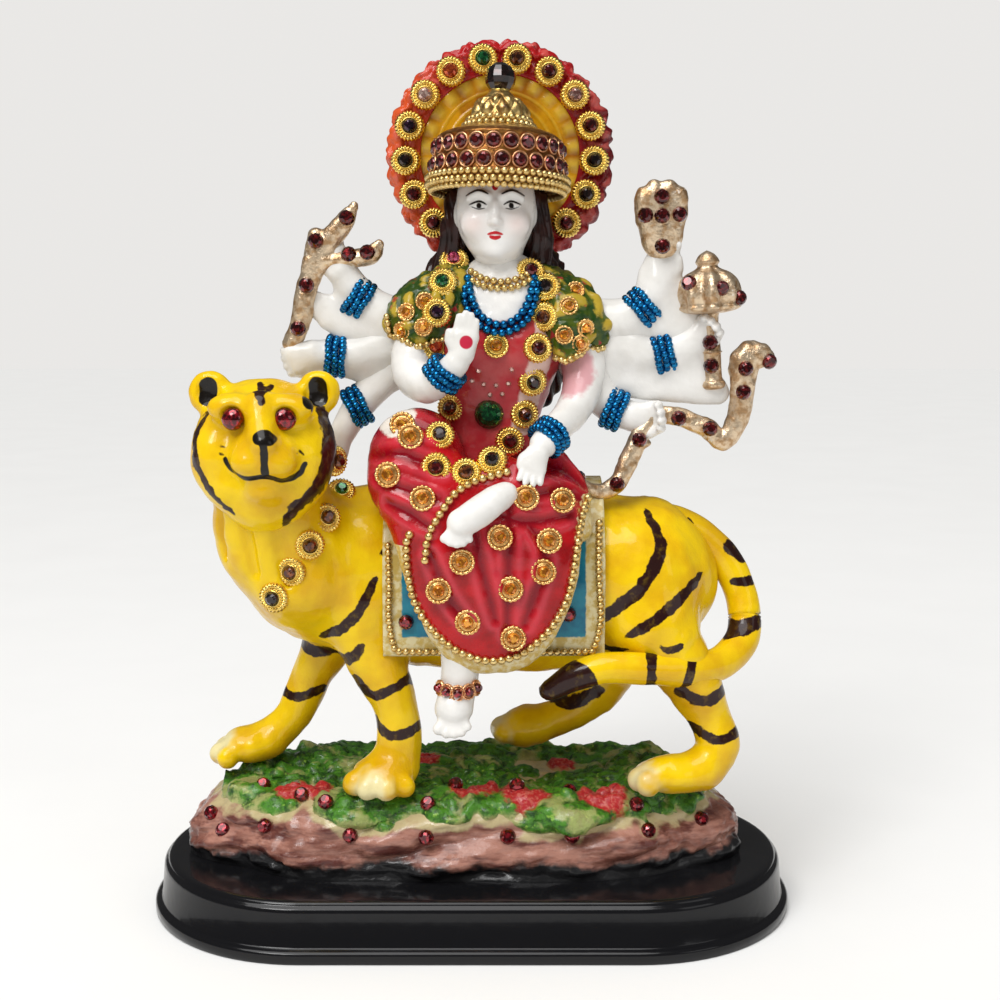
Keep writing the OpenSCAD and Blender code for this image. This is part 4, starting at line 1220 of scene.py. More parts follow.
        # Painted shade: low points that face downward get the ochre shade; a noise term adds random ochre
        # blotches.
        under = np.clip((66 - p[:, 2]) / 10, 0, 1) * np.clip(-normal[:, 2], 0, 1)
        shade_and_blotch = np.clip(under + 0.5 * np.clip(noise3(p, 9, 21), 0, 1), 0, 1)
        toes = np.array([(-22.6, -23.4, 34.4), (-62.4, 3.6, 37.2), (40.4, -17.4, 34.6), (7.8, 10.4, 40)])
        gap = np.min(np.linalg.norm(p[:, None] - toes[None], axis=2), axis=1) + noise3(p, 1.5, 22)
        pale = np.clip((6.0 - gap) / 3.0, 0, 1) * 0.8
        return {"stripe": stripe, "shade_and_blotch": shade_and_blotch, "pale": pale, "ink": np.full(len(p), 9.0)}

    def head_clay(self) -> Clay:
        """Returns the head, with the cheeks, muzzle, ears and the smiling mouth line."""
        c = np.array([-46.0, -22.6, 115.5])
        clay = Clay(3.4, self.head_cell)

        def put(x: float, y: float, z: float, r: Point, turn: Point = (0, 0, 0), cut: bool = False,
                melt: float | None = None) -> None:
            """Adds a lump placed from the head's middle."""
            clay.lump(c + (x, y, z), r, turn, cut, melt)

        put(0, 3, 1.5, (14.6, 11.5, 12.4))
        put(0, 6, -5, (13, 10, 12))
        put(0.5, -1, -13, (9.5, 9.5, 7.5))
        for s in (-1, 1):
            put(s * 9.4, -0.5, -3.4, (6.6, 9.6, 9.2))
            put(s * 6.8 + 0.6, -3, -9.4, (5.6, 7.4, 5.6))
            put(s * 6.4 + 0.8, -8.0, 8.0, (5.2, 3.6, 3.2), (20, 0, 0))
            put(s * 12.2, 3.0, 10.6, (4.8, 2.9, 5.0), (0, 0, 0), melt=1.8)
            put(s * 12.3, 0.2, 11.0, (3.0, 1.9, 3.3), (0, 0, 0), cut=True, melt=0.8)
            put(s * 5.6 + 0.9, -11.4, 5.7, (2.9, 2.0, 2.8), cut=True, melt=1.2)
            put(s * 3.1 + 2.2, -13.0, -3.6, (4.0, 3.8, 3.4), melt=2.4)
        put(1.9, -8.2, -2.0, (7.0, 7.0, 6.2))
        put(1.6, -9.0, -9.8, (4.6, 5.0, 3.0), melt=3.0)
        clay.limb([c + (1.0, -9.4, 8.5), c + (1.8, -12.6, 4.0), c + (2.6, -15.2, 1.2)], [3.2, 2.7, 2.3],
            melt=3)
        put(2.8, -16.0, 0.8, (2.2, 1.5, 1.9), melt=0.8)
        mouth = [c + (-6.4, -12.4, -3.6), c + (-3.4, -15.6, -6.2), c + (2.6, -17.0, -6.8),
            c + (7.6, -15.0, -6.8), c + (10.2, -11.8, -4.4)]
        clay.limb(mouth, [0.5, 0.75, 0.8, 0.75, 0.5], cut=True, melt=0.8, steps=4)
        clay.limb([c + (2.7, -17.6, -0.8), c + (2.6, -17.4, -6.6)], [0.5, 0.6], cut=True, melt=0.6)
        return clay

    def head_strokes(self) -> tuple[list[Stroke], list[Stroke]]:
        """Returns the brown cheek stripes, then the black nose, mouth and ear strokes."""
        front = (-60.0, -16.0)
        brown = [
            Stroke(((-57.4, 122.6), (-60.0, 117), (-59.4, 111), (-56, 104.8), (-51.4, 100.2)), 1.9,
                (-60, -10)),
            Stroke(((-33.6, 123.6), (-31.2, 118), (-31.0, 111.5), (-33.4, 105.6), (-38.6, 101.0),
                (-40.6, 97.4)), 2.8, (-60, -10)),
            Stroke(((-46.4, 128.4), (-44.8, 126.4), (-43.2, 128.2)), 1.5, (-60, -22)),
            Stroke(((-44.6, 127), (-43.9, 124.4)), 1.3, front),
            Stroke(((-36.6, 114.6), (-35.4, 113.2)), 0.6, front), Stroke(((-54.2, 115.4), (-52.6, 114.8)),
                0.6, front),
            Stroke(((-54.0, 113.6), (-52.8, 113.4)), 0.5, front),
        ]
        ink = [Stroke(((-44.2, 117.6), (-42.9, 118.0), (-41.9, 117.2)), 2.6, front, True),
            Stroke(((-43.0, 117), (-43.2, 110.0)), 1.7, front, True),
            Stroke(((-52.6, 112.4), (-51.4, 110.6), (-47.8, 108.9), (-43.3, 109.1), (-39.6, 108.2),
            (-36.6, 109.4), (-35.4, 111.4)), 1.25, front, True),
            Stroke(((-58.4, 125.2), (-58.2, 127.6)), 4.2, (-60, -18.2), True),
            Stroke(((-33.6, 125.2), (-33.8, 127.6)), 4.2, (-60, -18.2), True),]
        return brown, ink

    def tail(self) -> None:
        """Makes the tail, which loops out and comes back across the thigh."""
        seat = Seat("tiger_tail", (43.25, -10.0, 77.24))
        path = seat.at([(45, 2, 93.6), (50, 2, 92.6), (56, 2, 89.6), (62, 1.5, 83.4), (65.8, 0, 75),
            (65.4, -4, 66.8), (60, -10, 62), (51, -16, 61.4), (41, -20, 62.6), (31, -21.6, 63.2),
            (24, -21.4, 61), (18.4, -20.6, 57.6)])
        radii = [4.9, 4.7, 4.3, 4.0, 3.9, 4.0, 4.0, 4.0, 3.8, 3.6, 3.4, 2.6]
        shape = tube(path, radii, 40, 12, (0, 0.5, 1))
        p = shape.points
        bands = [
            Stroke(((61.6, 88), (66, 85)), 2.6, (-100, 100), True), Stroke(((62.5, 79.5), (70, 79.8)), 2.4),
            Stroke(((60, 68.2), (71, 70.8)), 3.4, (-9, 50), True), Stroke(((51.6, 66.6), (49.4, 55.5)), 2.6,
                (-100, 50), True),
            Stroke(((41.6, 68), (41.2, 57)), 2.4, (-100, 50), True), Stroke(((52, 95), (55, 86)), 2.2,
                (-100, 100)),
            Stroke(((13, 60), (18, 58.6), (24.6, 60.4)), 9.0, (-100, 50), True),
        ]
        marks = {"stripe": brushed(p, bands), "shade_and_blotch": np.clip(noise3(p, 8, 23), 0, 1) * 0.5,
                 "pale": 0 * p[:, 0], "ink": 9 + 0 * p[:, 0]}
        bump = noise3(p, 5, 24) * 0.25
        shape.points = p + normals(shape) * bump[:, None]
        settle(shape.object("tiger_tail_loop", self.finishes.tiger, marks=marks), "tiger_paint", "tiger_tail")

    def build(self) -> None:
        """Makes the casting, the head, the tail and the eyes."""
        self.seat = Seat("tiger_body", (1.51, 0.12, 80.43))
        body = self.body_clay().skin()
        p, n = body.points, normals(body)
        fur = 0.22 * noise3(p * (1, 1, 0.35), 2.4, 25) + 0.4 * noise3(p, 7, 26)
        body.points = p + n * fur[:, None]
        piece = body.object("tiger_casting", self.finishes.tiger, marks=self.marks(p, n))
        settle(piece, "tiger_paint", "tiger_body", "tiger_neck", "tiger_front_leg_near",
            "tiger_front_leg_far", "tiger_hind_leg_near", "tiger_hind_leg_far", seat=self.seat)
        head = self.head_clay().skin()
        self.finishes.casting = body + head
        p, n = head.points, normals(head)
        brown, ink = self.head_strokes()
        facing = np.where(n[:, 1] > 0.35, 30.0, 0.0)
        shade_and_blotch = np.clip(noise3(p, 6, 27), 0, 1) * 0.6
        marks = {"stripe": brushed(p, brown) + facing, "ink": brushed(p, ink, 0.15) + facing,
            "shade_and_blotch": shade_and_blotch, "pale": 0 * p[:, 0]}
        head.points = p + n * (0.25 * noise3(p, 5, 28) + 0.1 * noise3(p, 1.8, 29))[:, None]
        settle(head.object("tiger_face", self.finishes.tiger, marks=marks), "tiger_paint", "tiger_head",
            "tiger_ears", seat=self.seat)
        self.tail()
        seat = Seat("tiger_eyes", (-45.99, -33.9, 121.1))
        stone = ball(self.eye_r, 16, 24)
        stone.points *= (1, 1, 0.72)
        eyes = stone.moved([aim(seat.at((-46 + s * 5.6 + 0.9, -33.2, 121.2)), (s * 0.25, -1, 0.12))
            for s in (-1, 1)])
        settle(eyes.object("tiger_eye_cabochons", self.finishes.ruby), "red_stone", "tiger_eyes")


# ---------------------------------------------------------------- trim shapes


def pressed(width: float, relief: Array, swell: float, profile: Sequence) -> Shape:
    """Returns a disc pressed from sheet, standing on XY.

    Args:
        width: outer diameter.
        relief: height of the pattern round the disc, which repeats from ring to ring.
        swell: how far the pattern pushes the rim out.
        profile: (radius, height, share of the relief) from the rim inward, as shares of the width.
    """
    a = np.linspace(0, 2 * np.pi, len(relief), endpoint=False)
    rings = []
    for share, lift, ripple in profile:
        r = width / 2 * (share * (1 + (swell * relief if share > 0.9 else 0.0)) + 0.0005)
        rings.append(np.stack([r * np.cos(a), r * np.sin(a), width * (lift + ripple * relief)], axis=1))
    faces = grid_faces(len(rings), len(a))
    faces.append(tuple(range(len(a) - 1, -1, -1)))
    return Shape(np.vstack(rings), faces)


def flower(width: float, petals: int = 24) -> Shape:
    """Returns a pressed flower with fluted petals and a collar for a stone."""
    a = np.linspace(0, 2 * np.pi, petals * 4, endpoint=False)
    return pressed(width, np.cos(petals * a), 0.035,
        ((0.99, -0.02, 0.0), (1.0, 0.05, 0.0), (0.94, 0.13, 0.018), (0.80, 0.19, 0.030), (0.66, 0.17, 0.022),
        (0.60, 0.12, 0.0), (0.57, 0.20, 0.0), (0.54, 0.25, 0.0), (0.49, 0.25, 0.0), (0.46, 0.18, 0.0),
        (0.0, 0.17, 0.0)))


def medallion(width: float, beads: int = 16) -> Shape:
    """Returns a disc with a beaded rim and a collar for a stone."""
    a = np.linspace(0, 2 * np.pi, beads * 4, endpoint=False)
    return pressed(width, np.abs(np.cos(beads / 2 * a)) ** 0.7, 0.05,
        ((0.97, -0.04, 0.0), (0.98, 0.04, 0.03), (0.93, 0.10, 0.045), (0.84, 0.11, 0.045),
        (0.76, 0.07, 0.02), (0.70, 0.05, 0.0), (0.58, 0.07, 0.0), (0.55, 0.14, 0.0), (0.49, 0.15, 0.0),
        (0.46, 0.08, 0.0), (0.0, 0.08, 0.0)))


def bezel(width: float, wire: float = 0.3) -> Shape:
    """Returns a plain raised ring round a stone of a width, standing on XY."""
    r = width / 2
    return lathe([(r + wire, -0.2), (r + wire * 1.3, wire * 0.8), (r + wire * 0.7, wire * 1.7),
        (r, wire * 1.5), (r - 0.1, -0.1)], 20)


def bead() -> Shape:
    """Returns a bead 1 mm across, which its frames scale up."""
    return ball(0.5, 8, 12)


class Cover:
    """Finished surfaces that trim is laid on from the front."""

    def __init__(self, *shapes: Shape) -> None:
        """Builds the search tree over the shapes."""
        whole = shapes[0]
        for shape in shapes[1:]:
            whole = whole + shape
        self.tree = BVHTree.FromPolygons(whole.points.tolist(), whole.faces)

    def lay(self, points: Sequence, face: float = 0.5, sink: float = 0.0) -> list[Array]:
        """Returns frames on the surface where the front view shows the given points.

        Args:
            points: places near the surface.
            face: how far each frame turns from the surface to the front, from 0 to 1.
            sink: how deep the frames lie in the surface.
        """
        frames = []
        for p in np.asarray(points, float):
            ray = unit(p - EYE)
            hit, way, _, _ = self.tree.ray_cast(Vector(EYE), Vector(ray))
            if hit is None or np.linalg.norm(np.array(hit) - p) > 26:
                hit, way, _, _ = self.tree.find_nearest(Vector(p))
            turn = unit(np.array(way) * (1 - face) + np.array((0.0, -1.0, 0.12)) * face)
            frames.append(aim(np.array(hit) - turn * sink, turn))
        return frames

    def places(self, points: Sequence, out: float = 0.0) -> Array:
        """Returns the surface places that the front view shows at the given points."""
        return np.array([(f[:3, 3] + f[:3, 2] * out) for f in self.lay(points, 0.0)])


def strand(points: Array, size: float, pitch: float, close: float = 0.92) -> list[Array]:
    """Returns the frames of a row of beads along a line.

    Args:
        points: the line, already on its surface.
        size: bead diameter, as the frames' scale.
        pitch: distance between beads.
        close: share of the pitch that is kept between neighbours.
    """
    return [aim(p, (0, -1, 0), 0.0, size) for p in walk(points, pitch * close)]


# ---------------------------------------------------------------- saddle and skirt


@dataclass(frozen=True)
class SaddlePaint(Lacquer):
    """Turquoise panels inside a cream and gold border."""

    def colouring(self, tree: Tree) -> Sock:
        """Returns the paint's colour; the mesh carries the distance to the hem as hem."""
        panel = tree.blend(self.colour, self.shade, tree.noise(self.blotch, 3.0).step(0.35, 0.65))
        border = tree.blend((0.66, 0.58, 0.33), (0.50, 0.36, 0.09), tree.noise(2.0, 4.0).step(0.42, 0.62))
        edge = (tree.paint("hem") + tree.noise(1.5, 2.0) * 0.8 - 0.4).step(4.6, 4.2)
        return tree.blend(panel, border, edge)


@dataclass(frozen=True)
class SkirtPaint(Lacquer):
    """Crimson enamel with painted shade in the folds, painted highlights on the fold crests and a cream and
    gold hem.
    """

    def colouring(self, tree: Tree) -> Sock:
        """Returns the paint's colour; the mesh carries the folds, their crests and the hem as marks."""
        base = tree.blend(self.colour, self.shade, tree.noise(self.blotch, 3.0).step(0.36, 0.66))
        # Painted shade: dark crimson in the folds.
        base = tree.blend(base, (0.16, 0.0, 0.008), tree.paint("fold_depth_and_shade") * 0.8)
        # Painted highlight: light rose on the fold crests.
        base = tree.blend(base, (0.78, 0.09, 0.13), tree.paint("crest_sheen_and_gilt") * 0.4)
        border = tree.blend((0.68, 0.58, 0.34), (0.55, 0.38, 0.10), tree.noise(1.6, 4.0).step(0.40, 0.60))
        edge = (tree.paint("hem") + tree.noise(1.2, 2.0) * 0.5 - 0.25).step(0.3, -0.1)
        base = tree.blend(base, border, edge)
        worn = (tree.paint("bare") + tree.noise(1.4, 4.0) * 2.0 - 1.0).step(0.4, -0.4)
        return tree.blend(base, (0.74, 0.68, 0.60), worn)


@dataclass
class Dress:
    """Saddle cloth, skirt, feet and all the trim sewn on them."""

    finishes: Palette
    bead: float = 1.75
    medal: float = 5.8
    citrine: float = 2.9
    hem: tuple = ((-13.2, -24, 94.6), (-13.8, -26, 92.4), (-13.2, -28, 85.3), (-10.5, -29, 77.4),
        (-4.5, -29, 70.5), (3.5, -29, 67.0), (11.1, -29, 68.3), (17.7, -29, 73.8), (21.7, -28, 80.8),
        (23.4, -28, 89.6), (24.6, -27, 98.0), (26.2, -25, 103.0))
    inner: tuple = ((8.4, -27, 108.8), (1.8, -29, 107.2), (-3.3, -29, 104.1), (-7, -30, 98.8),
        (-9, -30, 94.1), (-9.7, -29, 89.6))
    medals: tuple = ((-15.6, -22, 122.7), (-13, -24, 116.6), (-18, -25, 108.2), (-10.2, -28, 103.2),
        (12.7, -28, 103.4), (20.7, -26, 102.5), (6.9, -29, 94.7), (17.8, -28, 93.8), (-1.5, -30, 89.4),
        (-6.7, -30, 82.9), (16.5, -30, 87.2), (9.3, -31, 83.5), (-0.2, -31, 76.1), (9.8, -31, 72.4))

    def saddle(self) -> Shape:
        """Makes the cloth over the barrel and returns its surface."""
        seat = Seat("saddle_cloth", (5.5, 0, 85.2))
        low, high = seat.low, seat.high
        columns = np.linspace(low[0], high[0], 90)
        half_y, rise = (high[1] - low[1]) / 2, high[2] - 80
        drop = np.linspace(low[2], 80, 26)[:-1]
        bend = np.linspace(0, np.pi, 61)
        outline = [(half_y, z) for z in drop] + [(half_y * math.cos(t), 80 + rise * math.sin(t))
            for t in bend]
        outline += [(-half_y, z) for z in drop[::-1]]
        outline = np.array(outline)
        inward = [(2.2, 0)] * 25 + [(2.2 * math.cos(t), 2.2 * math.sin(t)) for t in bend] + [(-2.2, 0)] * 25
        inner = outline - np.array(inward)
        rings = []
        loop = np.vstack([outline, inner[::-1]])
        count = len(outline)
        for i, x in enumerate(columns):
            ring = np.column_stack([np.full(len(loop), x), loop[:, 0], loop[:, 1]])
            rings.append(ring)
        points = np.vstack(rings)
        sides = len(loop)
        faces = grid_faces(len(rings), sides)
        for first, flip in ((0, False), ((len(rings) - 1) * sides, True)):
            for k in range(count - 1):
                quad = (first + k, first + k + 1, first + sides - 2 - k, first + sides - 1 - k)
                faces.append(quad if flip else quad[::-1])
        wave = noise3(points * (1, 0.2, 1), 7, 31) * 0.35 - 0.25
        points[:, 1] += np.sign(points[:, 1]) * wave * np.clip((80 - points[:, 2]) / 6, 0, 1)
        edge = np.minimum(points[:, 0] - low[0], high[0] - points[:, 0])
        edge = np.minimum(edge, points[:, 2] - low[2])
        shape = Shape(points, faces)
        piece = shape.object("saddle_blanket", self.finishes.saddle, marks={"hem": edge})
        settle(piece, "cloth_blue_paint", "saddle_cloth", seat=self.seat)
        x0, x1, z0 = low[0] + 1.3, high[0] - 1.3, low[2] + 1.2
        beads, rubies = [], []
        for side in (-1, 1):
            y = side * (half_y + 0.35)
            line = [(x0, y * 0.9, 91), (x0 + 0.3, y, 82), (x0 + 0.2, y, 74), (x0 + 1.4, y, 67.4),
                (x0 + 3.4, y, z0), (x0 + 12, y, z0 - 0.1)]
            other = [(x1, y * 0.8, 96), (x1 - 0.3, y, 86), (x1 + 0.2, y, 74), (x1 - 1.4, y, 67.4),
                (x1 - 3.4, y, z0), (x1 - 16, y, z0 - 0.1)]
            beads += strand(smooth(line, 8), self.bead, self.bead) + strand(smooth(other, 8), self.bead,
                self.bead)
            rubies += [aim((-14.6, y, 73.6), (0, side, 0)), aim((22.6, y, 75.4), (0, side, 0))]
        settle(bead().moved(beads).object("saddle_bead_rows", self.finishes.bead_gold), "gold_bead",
               "saddle_beads")
        stones = CutStone(3.6).shape().moved(rubies)
        settle(stones.object("saddle_rubies", self.finishes.ruby, flat=True), "red_stone", "saddle_stones")
        return shape

    def folds(self) -> list[Stroke]:
        """Returns the lines of the skirt's folds."""
        return [Stroke(line, width) for line, width in (
            (((-8.5, 91), (-5, 82), (0, 75)), 1.0), (((1, 98), (2.5, 90), (6, 76)), 1.3),
            (((9, 102), (9, 92), (8.5, 73)), 1.2), (((13, 98), (16.8, 90), (12.4, 75)), 1.2),
            (((4, 101), (12, 98), (22.5, 99)), 1.1),
            (((-21, 117), (-15, 120), (-7, 117)), 1.2), (((-22, 112), (-15, 112.6), (-6, 109)), 1.2),
            (((-21, 107), (-14, 105), (-7, 103)), 1.2), (((-18, 102), (-13, 99.6), (-9, 97)), 1.0),
            (((12, 108), (20, 109), (27, 104)), 1.3), (((15, 104), (22, 104), (28, 99)), 1.1))]

    def skirt(self) -> Shape:
        """Makes the skirt over the lap and returns its surface."""
        clay = Clay(5.0, 0.55)
        clay.lump((-12.5, -13, 112.0), (10.0, 11, 10.2)).lump((4, -2, 104), (15, 9, 7.6))
        clay.limb([(-12, -10, 109), (0, -12, 101.4), (11, -12, 100.4), (19.4, -10, 101.6)],
            [9, 6.6, 6.4, 6.6])
        clay.lump((20.4, -12, 101), (5.4, 8, 8.0)).lump((-15.5, -17, 105.5), (6.4, 8, 7))
        clay.limb([(6.6, -19.5, 97.5), (5.8, -22.5, 93), (5.2, -24.8, 86), (4.8, -25.6, 78),
            (5.2, -26.2, 73.2)], [14.0, 19.0, 18.9, 15.4, 8.4], squash=(1, 0.28, 1), melt=4)
        clay.limb([(20, -13, 110), (22.4, -15, 103), (24.6, -17, 95)], [3.0, 4.0, 3.4], squash=(1, 0.8, 1),
            melt=3)
        clay.limb([(-13, -19, 105), (-8.5, -23.5, 98), (-5, -25.4, 90)], [7.5, 7.2, 6], squash=(1, 0.6, 1))
        shape = clay.skin()
        p, n = shape.points, normals(shape)
        front = np.clip(-n[:, 1] * 1.6, 0, 1)
        crease = np.min([s.distance(p) + s.width / 2 for s in self.folds()], axis=0)
        # The fold mask darkens the creases as painted shade and the crest mask lightens the ridges beside
        # them as painted highlight; both also shape the cloth.
        fold_depth_and_shade = np.exp(-(crease / 1.1) ** 2) * front
        crest_sheen_and_gilt = np.exp(-((crease - 2.3) / 0.9) ** 2) * front
        wave = noise3(p * (1, 1, 0.4), 5.5, 33) * 0.5 + noise3(p, 2.2, 34) * 0.16
        p = p + n * (wave - 0.6 * fold_depth_and_shade + 0.25 * crest_sheen_and_gilt)[:, None]
        chain = smooth(self.hem, 8)[:, [0, 2]]
        hem = np.min(np.linalg.norm(p[:, None, [0, 2]] - chain[None, ::2], axis=2), axis=1) - 0.4
        middle = np.array([5.5, 97.0])
        near = chain[np.argmin(np.linalg.norm(p[:, None, [0, 2]] - chain[None], axis=2), axis=1)]
        outside = np.linalg.norm(p[:, [0, 2]] - middle, axis=1) > np.linalg.norm(near - middle, axis=1)
        low = (p[:, 2] < 93) | ((p[:, 2] < 103) & (p[:, 0] > 10))
        edge = np.where(outside & low, -hem, hem)
        edge = np.where(low, edge, 9.0)
        bare = np.hypot(p[:, 0] + 16.8, (p[:, 2] - 120.4) * 1.1) - 4.6
        shape.points = p
        marks = {"fold_depth_and_shade": fold_depth_and_shade, "crest_sheen_and_gilt": crest_sheen_and_gilt * 0.8, "hem": edge, "bare": bare}
        settle(shape.object("skirt_drape", self.finishes.skirt, marks=marks), "red_paint", "skirt",
            seat=self.seat)
        return shape

    def foot(self, name: str, node: str, path: Sequence, radii: Sequence, toes: Sequence) -> Shape:
        """Makes a white foot with toes.

        Args:
            name: the piece's name.
            node: the CAD node it stands for.
            path: points from the ankle to the ball of the foot.
            radii: the foot's radius at each point.
            toes: end point and radius of each toe.
        Returns:
            The foot's surface.
        """
        clay = Clay(1.6, 0.35)
        clay.limb(path, radii)
        for x, y, z, r in toes:
            clay.limb([path[-1], (x, y, z)], [r * 1.2, r], melt=0.7)
        shape = clay.skin()
        shape.points += normals(shape) * (0.12 * noise3(shape.points, 2.5, 35))[:, None]
        settle(shape.object(name, self.finishes.white), "white_paint", node, seat=self.seat)
        return shape

    def trim(self, cloth: Cover, ankle: Cover) -> None:
        """Lays the bead chains, medallions and the anklet."""
        lines = [cloth.places(smooth(line, 10), 0.4) for line in (self.hem, self.inner)]
        frames = [f for line in lines for f in strand(line, self.bead * 1.12, self.bead * 1.12)]
        settle(bead().moved(frames).object("skirt_bead_rows", self.finishes.bead_gold), "gold_bead",
               "skirt_hem_beads", seat=self.seat)
        medals = cloth.lay(self.medals, 0.8, -0.35)
        settle(medallion(self.medal).moved(medals).object("skirt_flowers", self.finishes.amber_gold),
            "gold_setting", "skirt_medallions", seat=self.seat)
        up = [f @ aim((0, 0, self.medal * 0.1), (0, 0, 1)) for f in medals]
        settle(CutStone(self.citrine, 0.5).shape().moved(up).object("skirt_citrine_stones",
            self.finishes.citrine, flat=True), "citrine_stone", "skirt_citrines", seat=self.seat)
        around = [(-2.6 + 5.4 * math.sin(a), -24 - 5.4 * math.cos(a), 59.2 + 1.2 * (1 - math.cos(a)))
                  for a in np.radians([-62, -31, 0, 31, 62])]
        frames = []
        for p in around:
            way = unit(np.array(p) - (-2.6, -24, 59.2))
            frames.append(aim(np.array(p) - way * 0.9, way))
        settle(medallion(3.7, 12).moved(frames).object("anklet_settings", self.finishes.rose),
            "gold_setting", "anklet", seat=self.seat)
        up = [f @ aim((0, 0, 0.35), (0, 0, 1)) for f in frames]
        settle(CutStone(2.3, 0.5).shape().moved(up).object("anklet_rubies", self.finishes.ruby, flat=True),
               "red_stone", "anklet_stones", seat=self.seat)

    def build(self) -> None:
        """Makes the saddle, the skirt, both feet and their trim."""
        self.seat = Seat("skirt", (3.2, -13.6, 93.25))
        self.saddle()
        cloth = self.skirt()
        crossed = self.foot("crossed_foot_cast", "crossed_foot",
            [(8.2, -27.4, 104.2), (5.6, -28.8, 102.8), (1.8, -30.4, 100.2), (-1.6, -31.4, 98.2)],
            [2.7, 3.2, 3.5, 3.2], [(-5.2, -32.2, 95.0, 1.1), (-4.0, -32.6, 94.2, 1.0),
            (-2.6, -32.6, 93.8, 0.95), (-1.2, -32.4, 94.0, 0.9), (0.2, -32.0, 94.8, 0.85)])
        hanging = self.foot("hanging_foot_cast", "hanging_foot",
                            [(-2, -22.5, 69), (-2.2, -23, 63), (-2.6, -23.6, 59), (-3.6, -25.6, 55)],
                            [4.6, 4.4, 4.2, 4.4],
                            [(-6.9, -28.2, 50.7, 1.35), (-5.1, -28.8, 49.9, 1.15), (-3.4, -28.9, 49.8, 1.1),
                             (-1.8, -28.6, 50.2, 1.05), (-0.4, -28.0, 51.2, 1.0)])
        self.trim(Cover(cloth, crossed), Cover(hanging))
        self.finishes.surfaces += [cloth, crossed]


# ---------------------------------------------------------------- figure


@dataclass(frozen=True)
class BlousePaint(Lacquer):
    """Rose red blouse over pale skin, with a pink stole strip."""

    def colouring(self, tree: Tree) -> Sock:
        """Returns the paint's colour; the mesh carries skin and stole distances."""
        base = tree.blend(self.colour, self.shade, tree.noise(self.blotch, 3.0).step(0.36, 0.66))
        wear = tree.noise(1.3, 3.0) * 1.2 - 0.6
        base = tree.blend(base, (0.70, 0.50, 0.44), (tree.paint("stole") + wear).step(0.4, -0.3))
        return tree.blend(base, (0.80, 0.785, 0.755), (tree.paint("bare") + wear).step(0.3, -0.3))


@dataclass(frozen=True)
class ShawlPaint(Lacquer):
    """Olive and leaf green enamel with gold brushed on the raised leaves."""

    def colouring(self, tree: Tree) -> Sock:
        """Returns the paint's colour; the mesh carries the relief as crest."""
        base = tree.blend(self.colour, self.shade, tree.noise(self.blotch, 3.0).step(0.40, 0.60))
        base = tree.blend(base, (0.30, 0.02, 0.02), tree.noise(3.4, 2.0).step(0.62, 0.68))
        return tree.blend(base, (0.44, 0.31, 0.03),
            (tree.paint("crest_sheen_and_gilt") + tree.noise(1.0, 3.0)).step(1.0, 1.45))


@dataclass(frozen=True)
class FacePaint(Lacquer):
    """Glossy white skin with painted brows, eyes, lips and bindi."""

    def colouring(self, tree: Tree) -> Sock:
        """Returns the paint's colour; the mesh carries the distances lips, dark, eye and dot."""
        base = tree.blend(self.colour, self.shade, tree.noise(self.blotch, 2.0).step(0.4, 0.6))
        base = tree.blend(base, (0.78, 0.50, 0.44), tree.paint("blush") * 0.35)
        base = tree.blend(base, (0.86, 0.85, 0.83), tree.paint("eye").step(0.1, -0.1))
        base = tree.blend(base, (0.50, 0.012, 0.02), tree.paint("lips").step(0.1, -0.12))
        base = tree.blend(base, (0.42, 0.012, 0.02), tree.paint("dot").step(0.1, -0.12))
        return tree.blend(base, (0.010, 0.006, 0.005), tree.paint("dark").step(0.12, -0.12))


@dataclass(frozen=True)
class SkinPaint(Lacquer):
    """Glossy white skin with a rose tint by the blouse and a red dot on the palm."""

    def colouring(self, tree: Tree) -> Sock:
        """Returns the paint's colour; the mesh carries the distances tint and dot."""
        base = tree.blend(self.colour, self.shade, tree.noise(self.blotch, 3.0).step(0.38, 0.66))
        wear = tree.noise(2.0, 3.0) * 3.0 - 1.5
        base = tree.blend(base, (0.60, 0.16, 0.20), (tree.paint("tint") + wear).step(0.8, -1.2) * 0.7)
        return tree.blend(base, (0.48, 0.02, 0.05), tree.paint("dot").step(0.15, -0.15))


@dataclass
class Hand:
    """Open, curled or gripping hand at the end of an arm."""

    palm: Point
    way: Point
    side: Point
    size: float = 1.0
    curl: float = 0.0
    spread: float = 0.12

    def add(self, clay: Clay) -> None:
        """Adds the palm, four fingers and the thumb to the clay."""
        s = self.size
        palm, way = np.array(self.palm, float), unit(self.way)
        side = unit(np.array(self.side, float) - way * np.dot(self.side, way))
        out = np.cross(way, side)
        for k, share in enumerate((-0.95, -0.32, 0.32, 0.95)):
            clay.limb([palm - way * 1.8 * s + side * share * 0.9 * s,
                palm + way * 2.0 * s + side * share * 2.0 * s], [1.75 * s, 1.35 * s], melt=1.4)
            root = palm + way * 2.0 * s + side * share * 2.1 * s
            length = (3.4, 4.1, 3.9, 3.0)[k] * s
            bend = way + side * share * self.spread * 2
            points = [root]
            for joint in range(1, 4):
                turn = self.curl * joint * 0.62
                points.append(points[-1] + (bend * math.cos(turn) + out * math.sin(turn)) * length * 0.42)
            clay.limb(points, [1.05 * s, 0.98 * s, 0.9 * s, 0.72 * s], melt=0.5)
        root = palm - side * 1.9 * s - way * 0.9 * s
        points = [root, root - side * 1.5 * s + way * 1.4 * s + out * self.curl * 0.7 * s,
                  root - side * (1.9 - self.curl) * s + way * 3.5 * s + out * self.curl * 1.8 * s]
        clay.limb(points, [1.25 * s, 1.1 * s, 0.78 * s], melt=0.9)


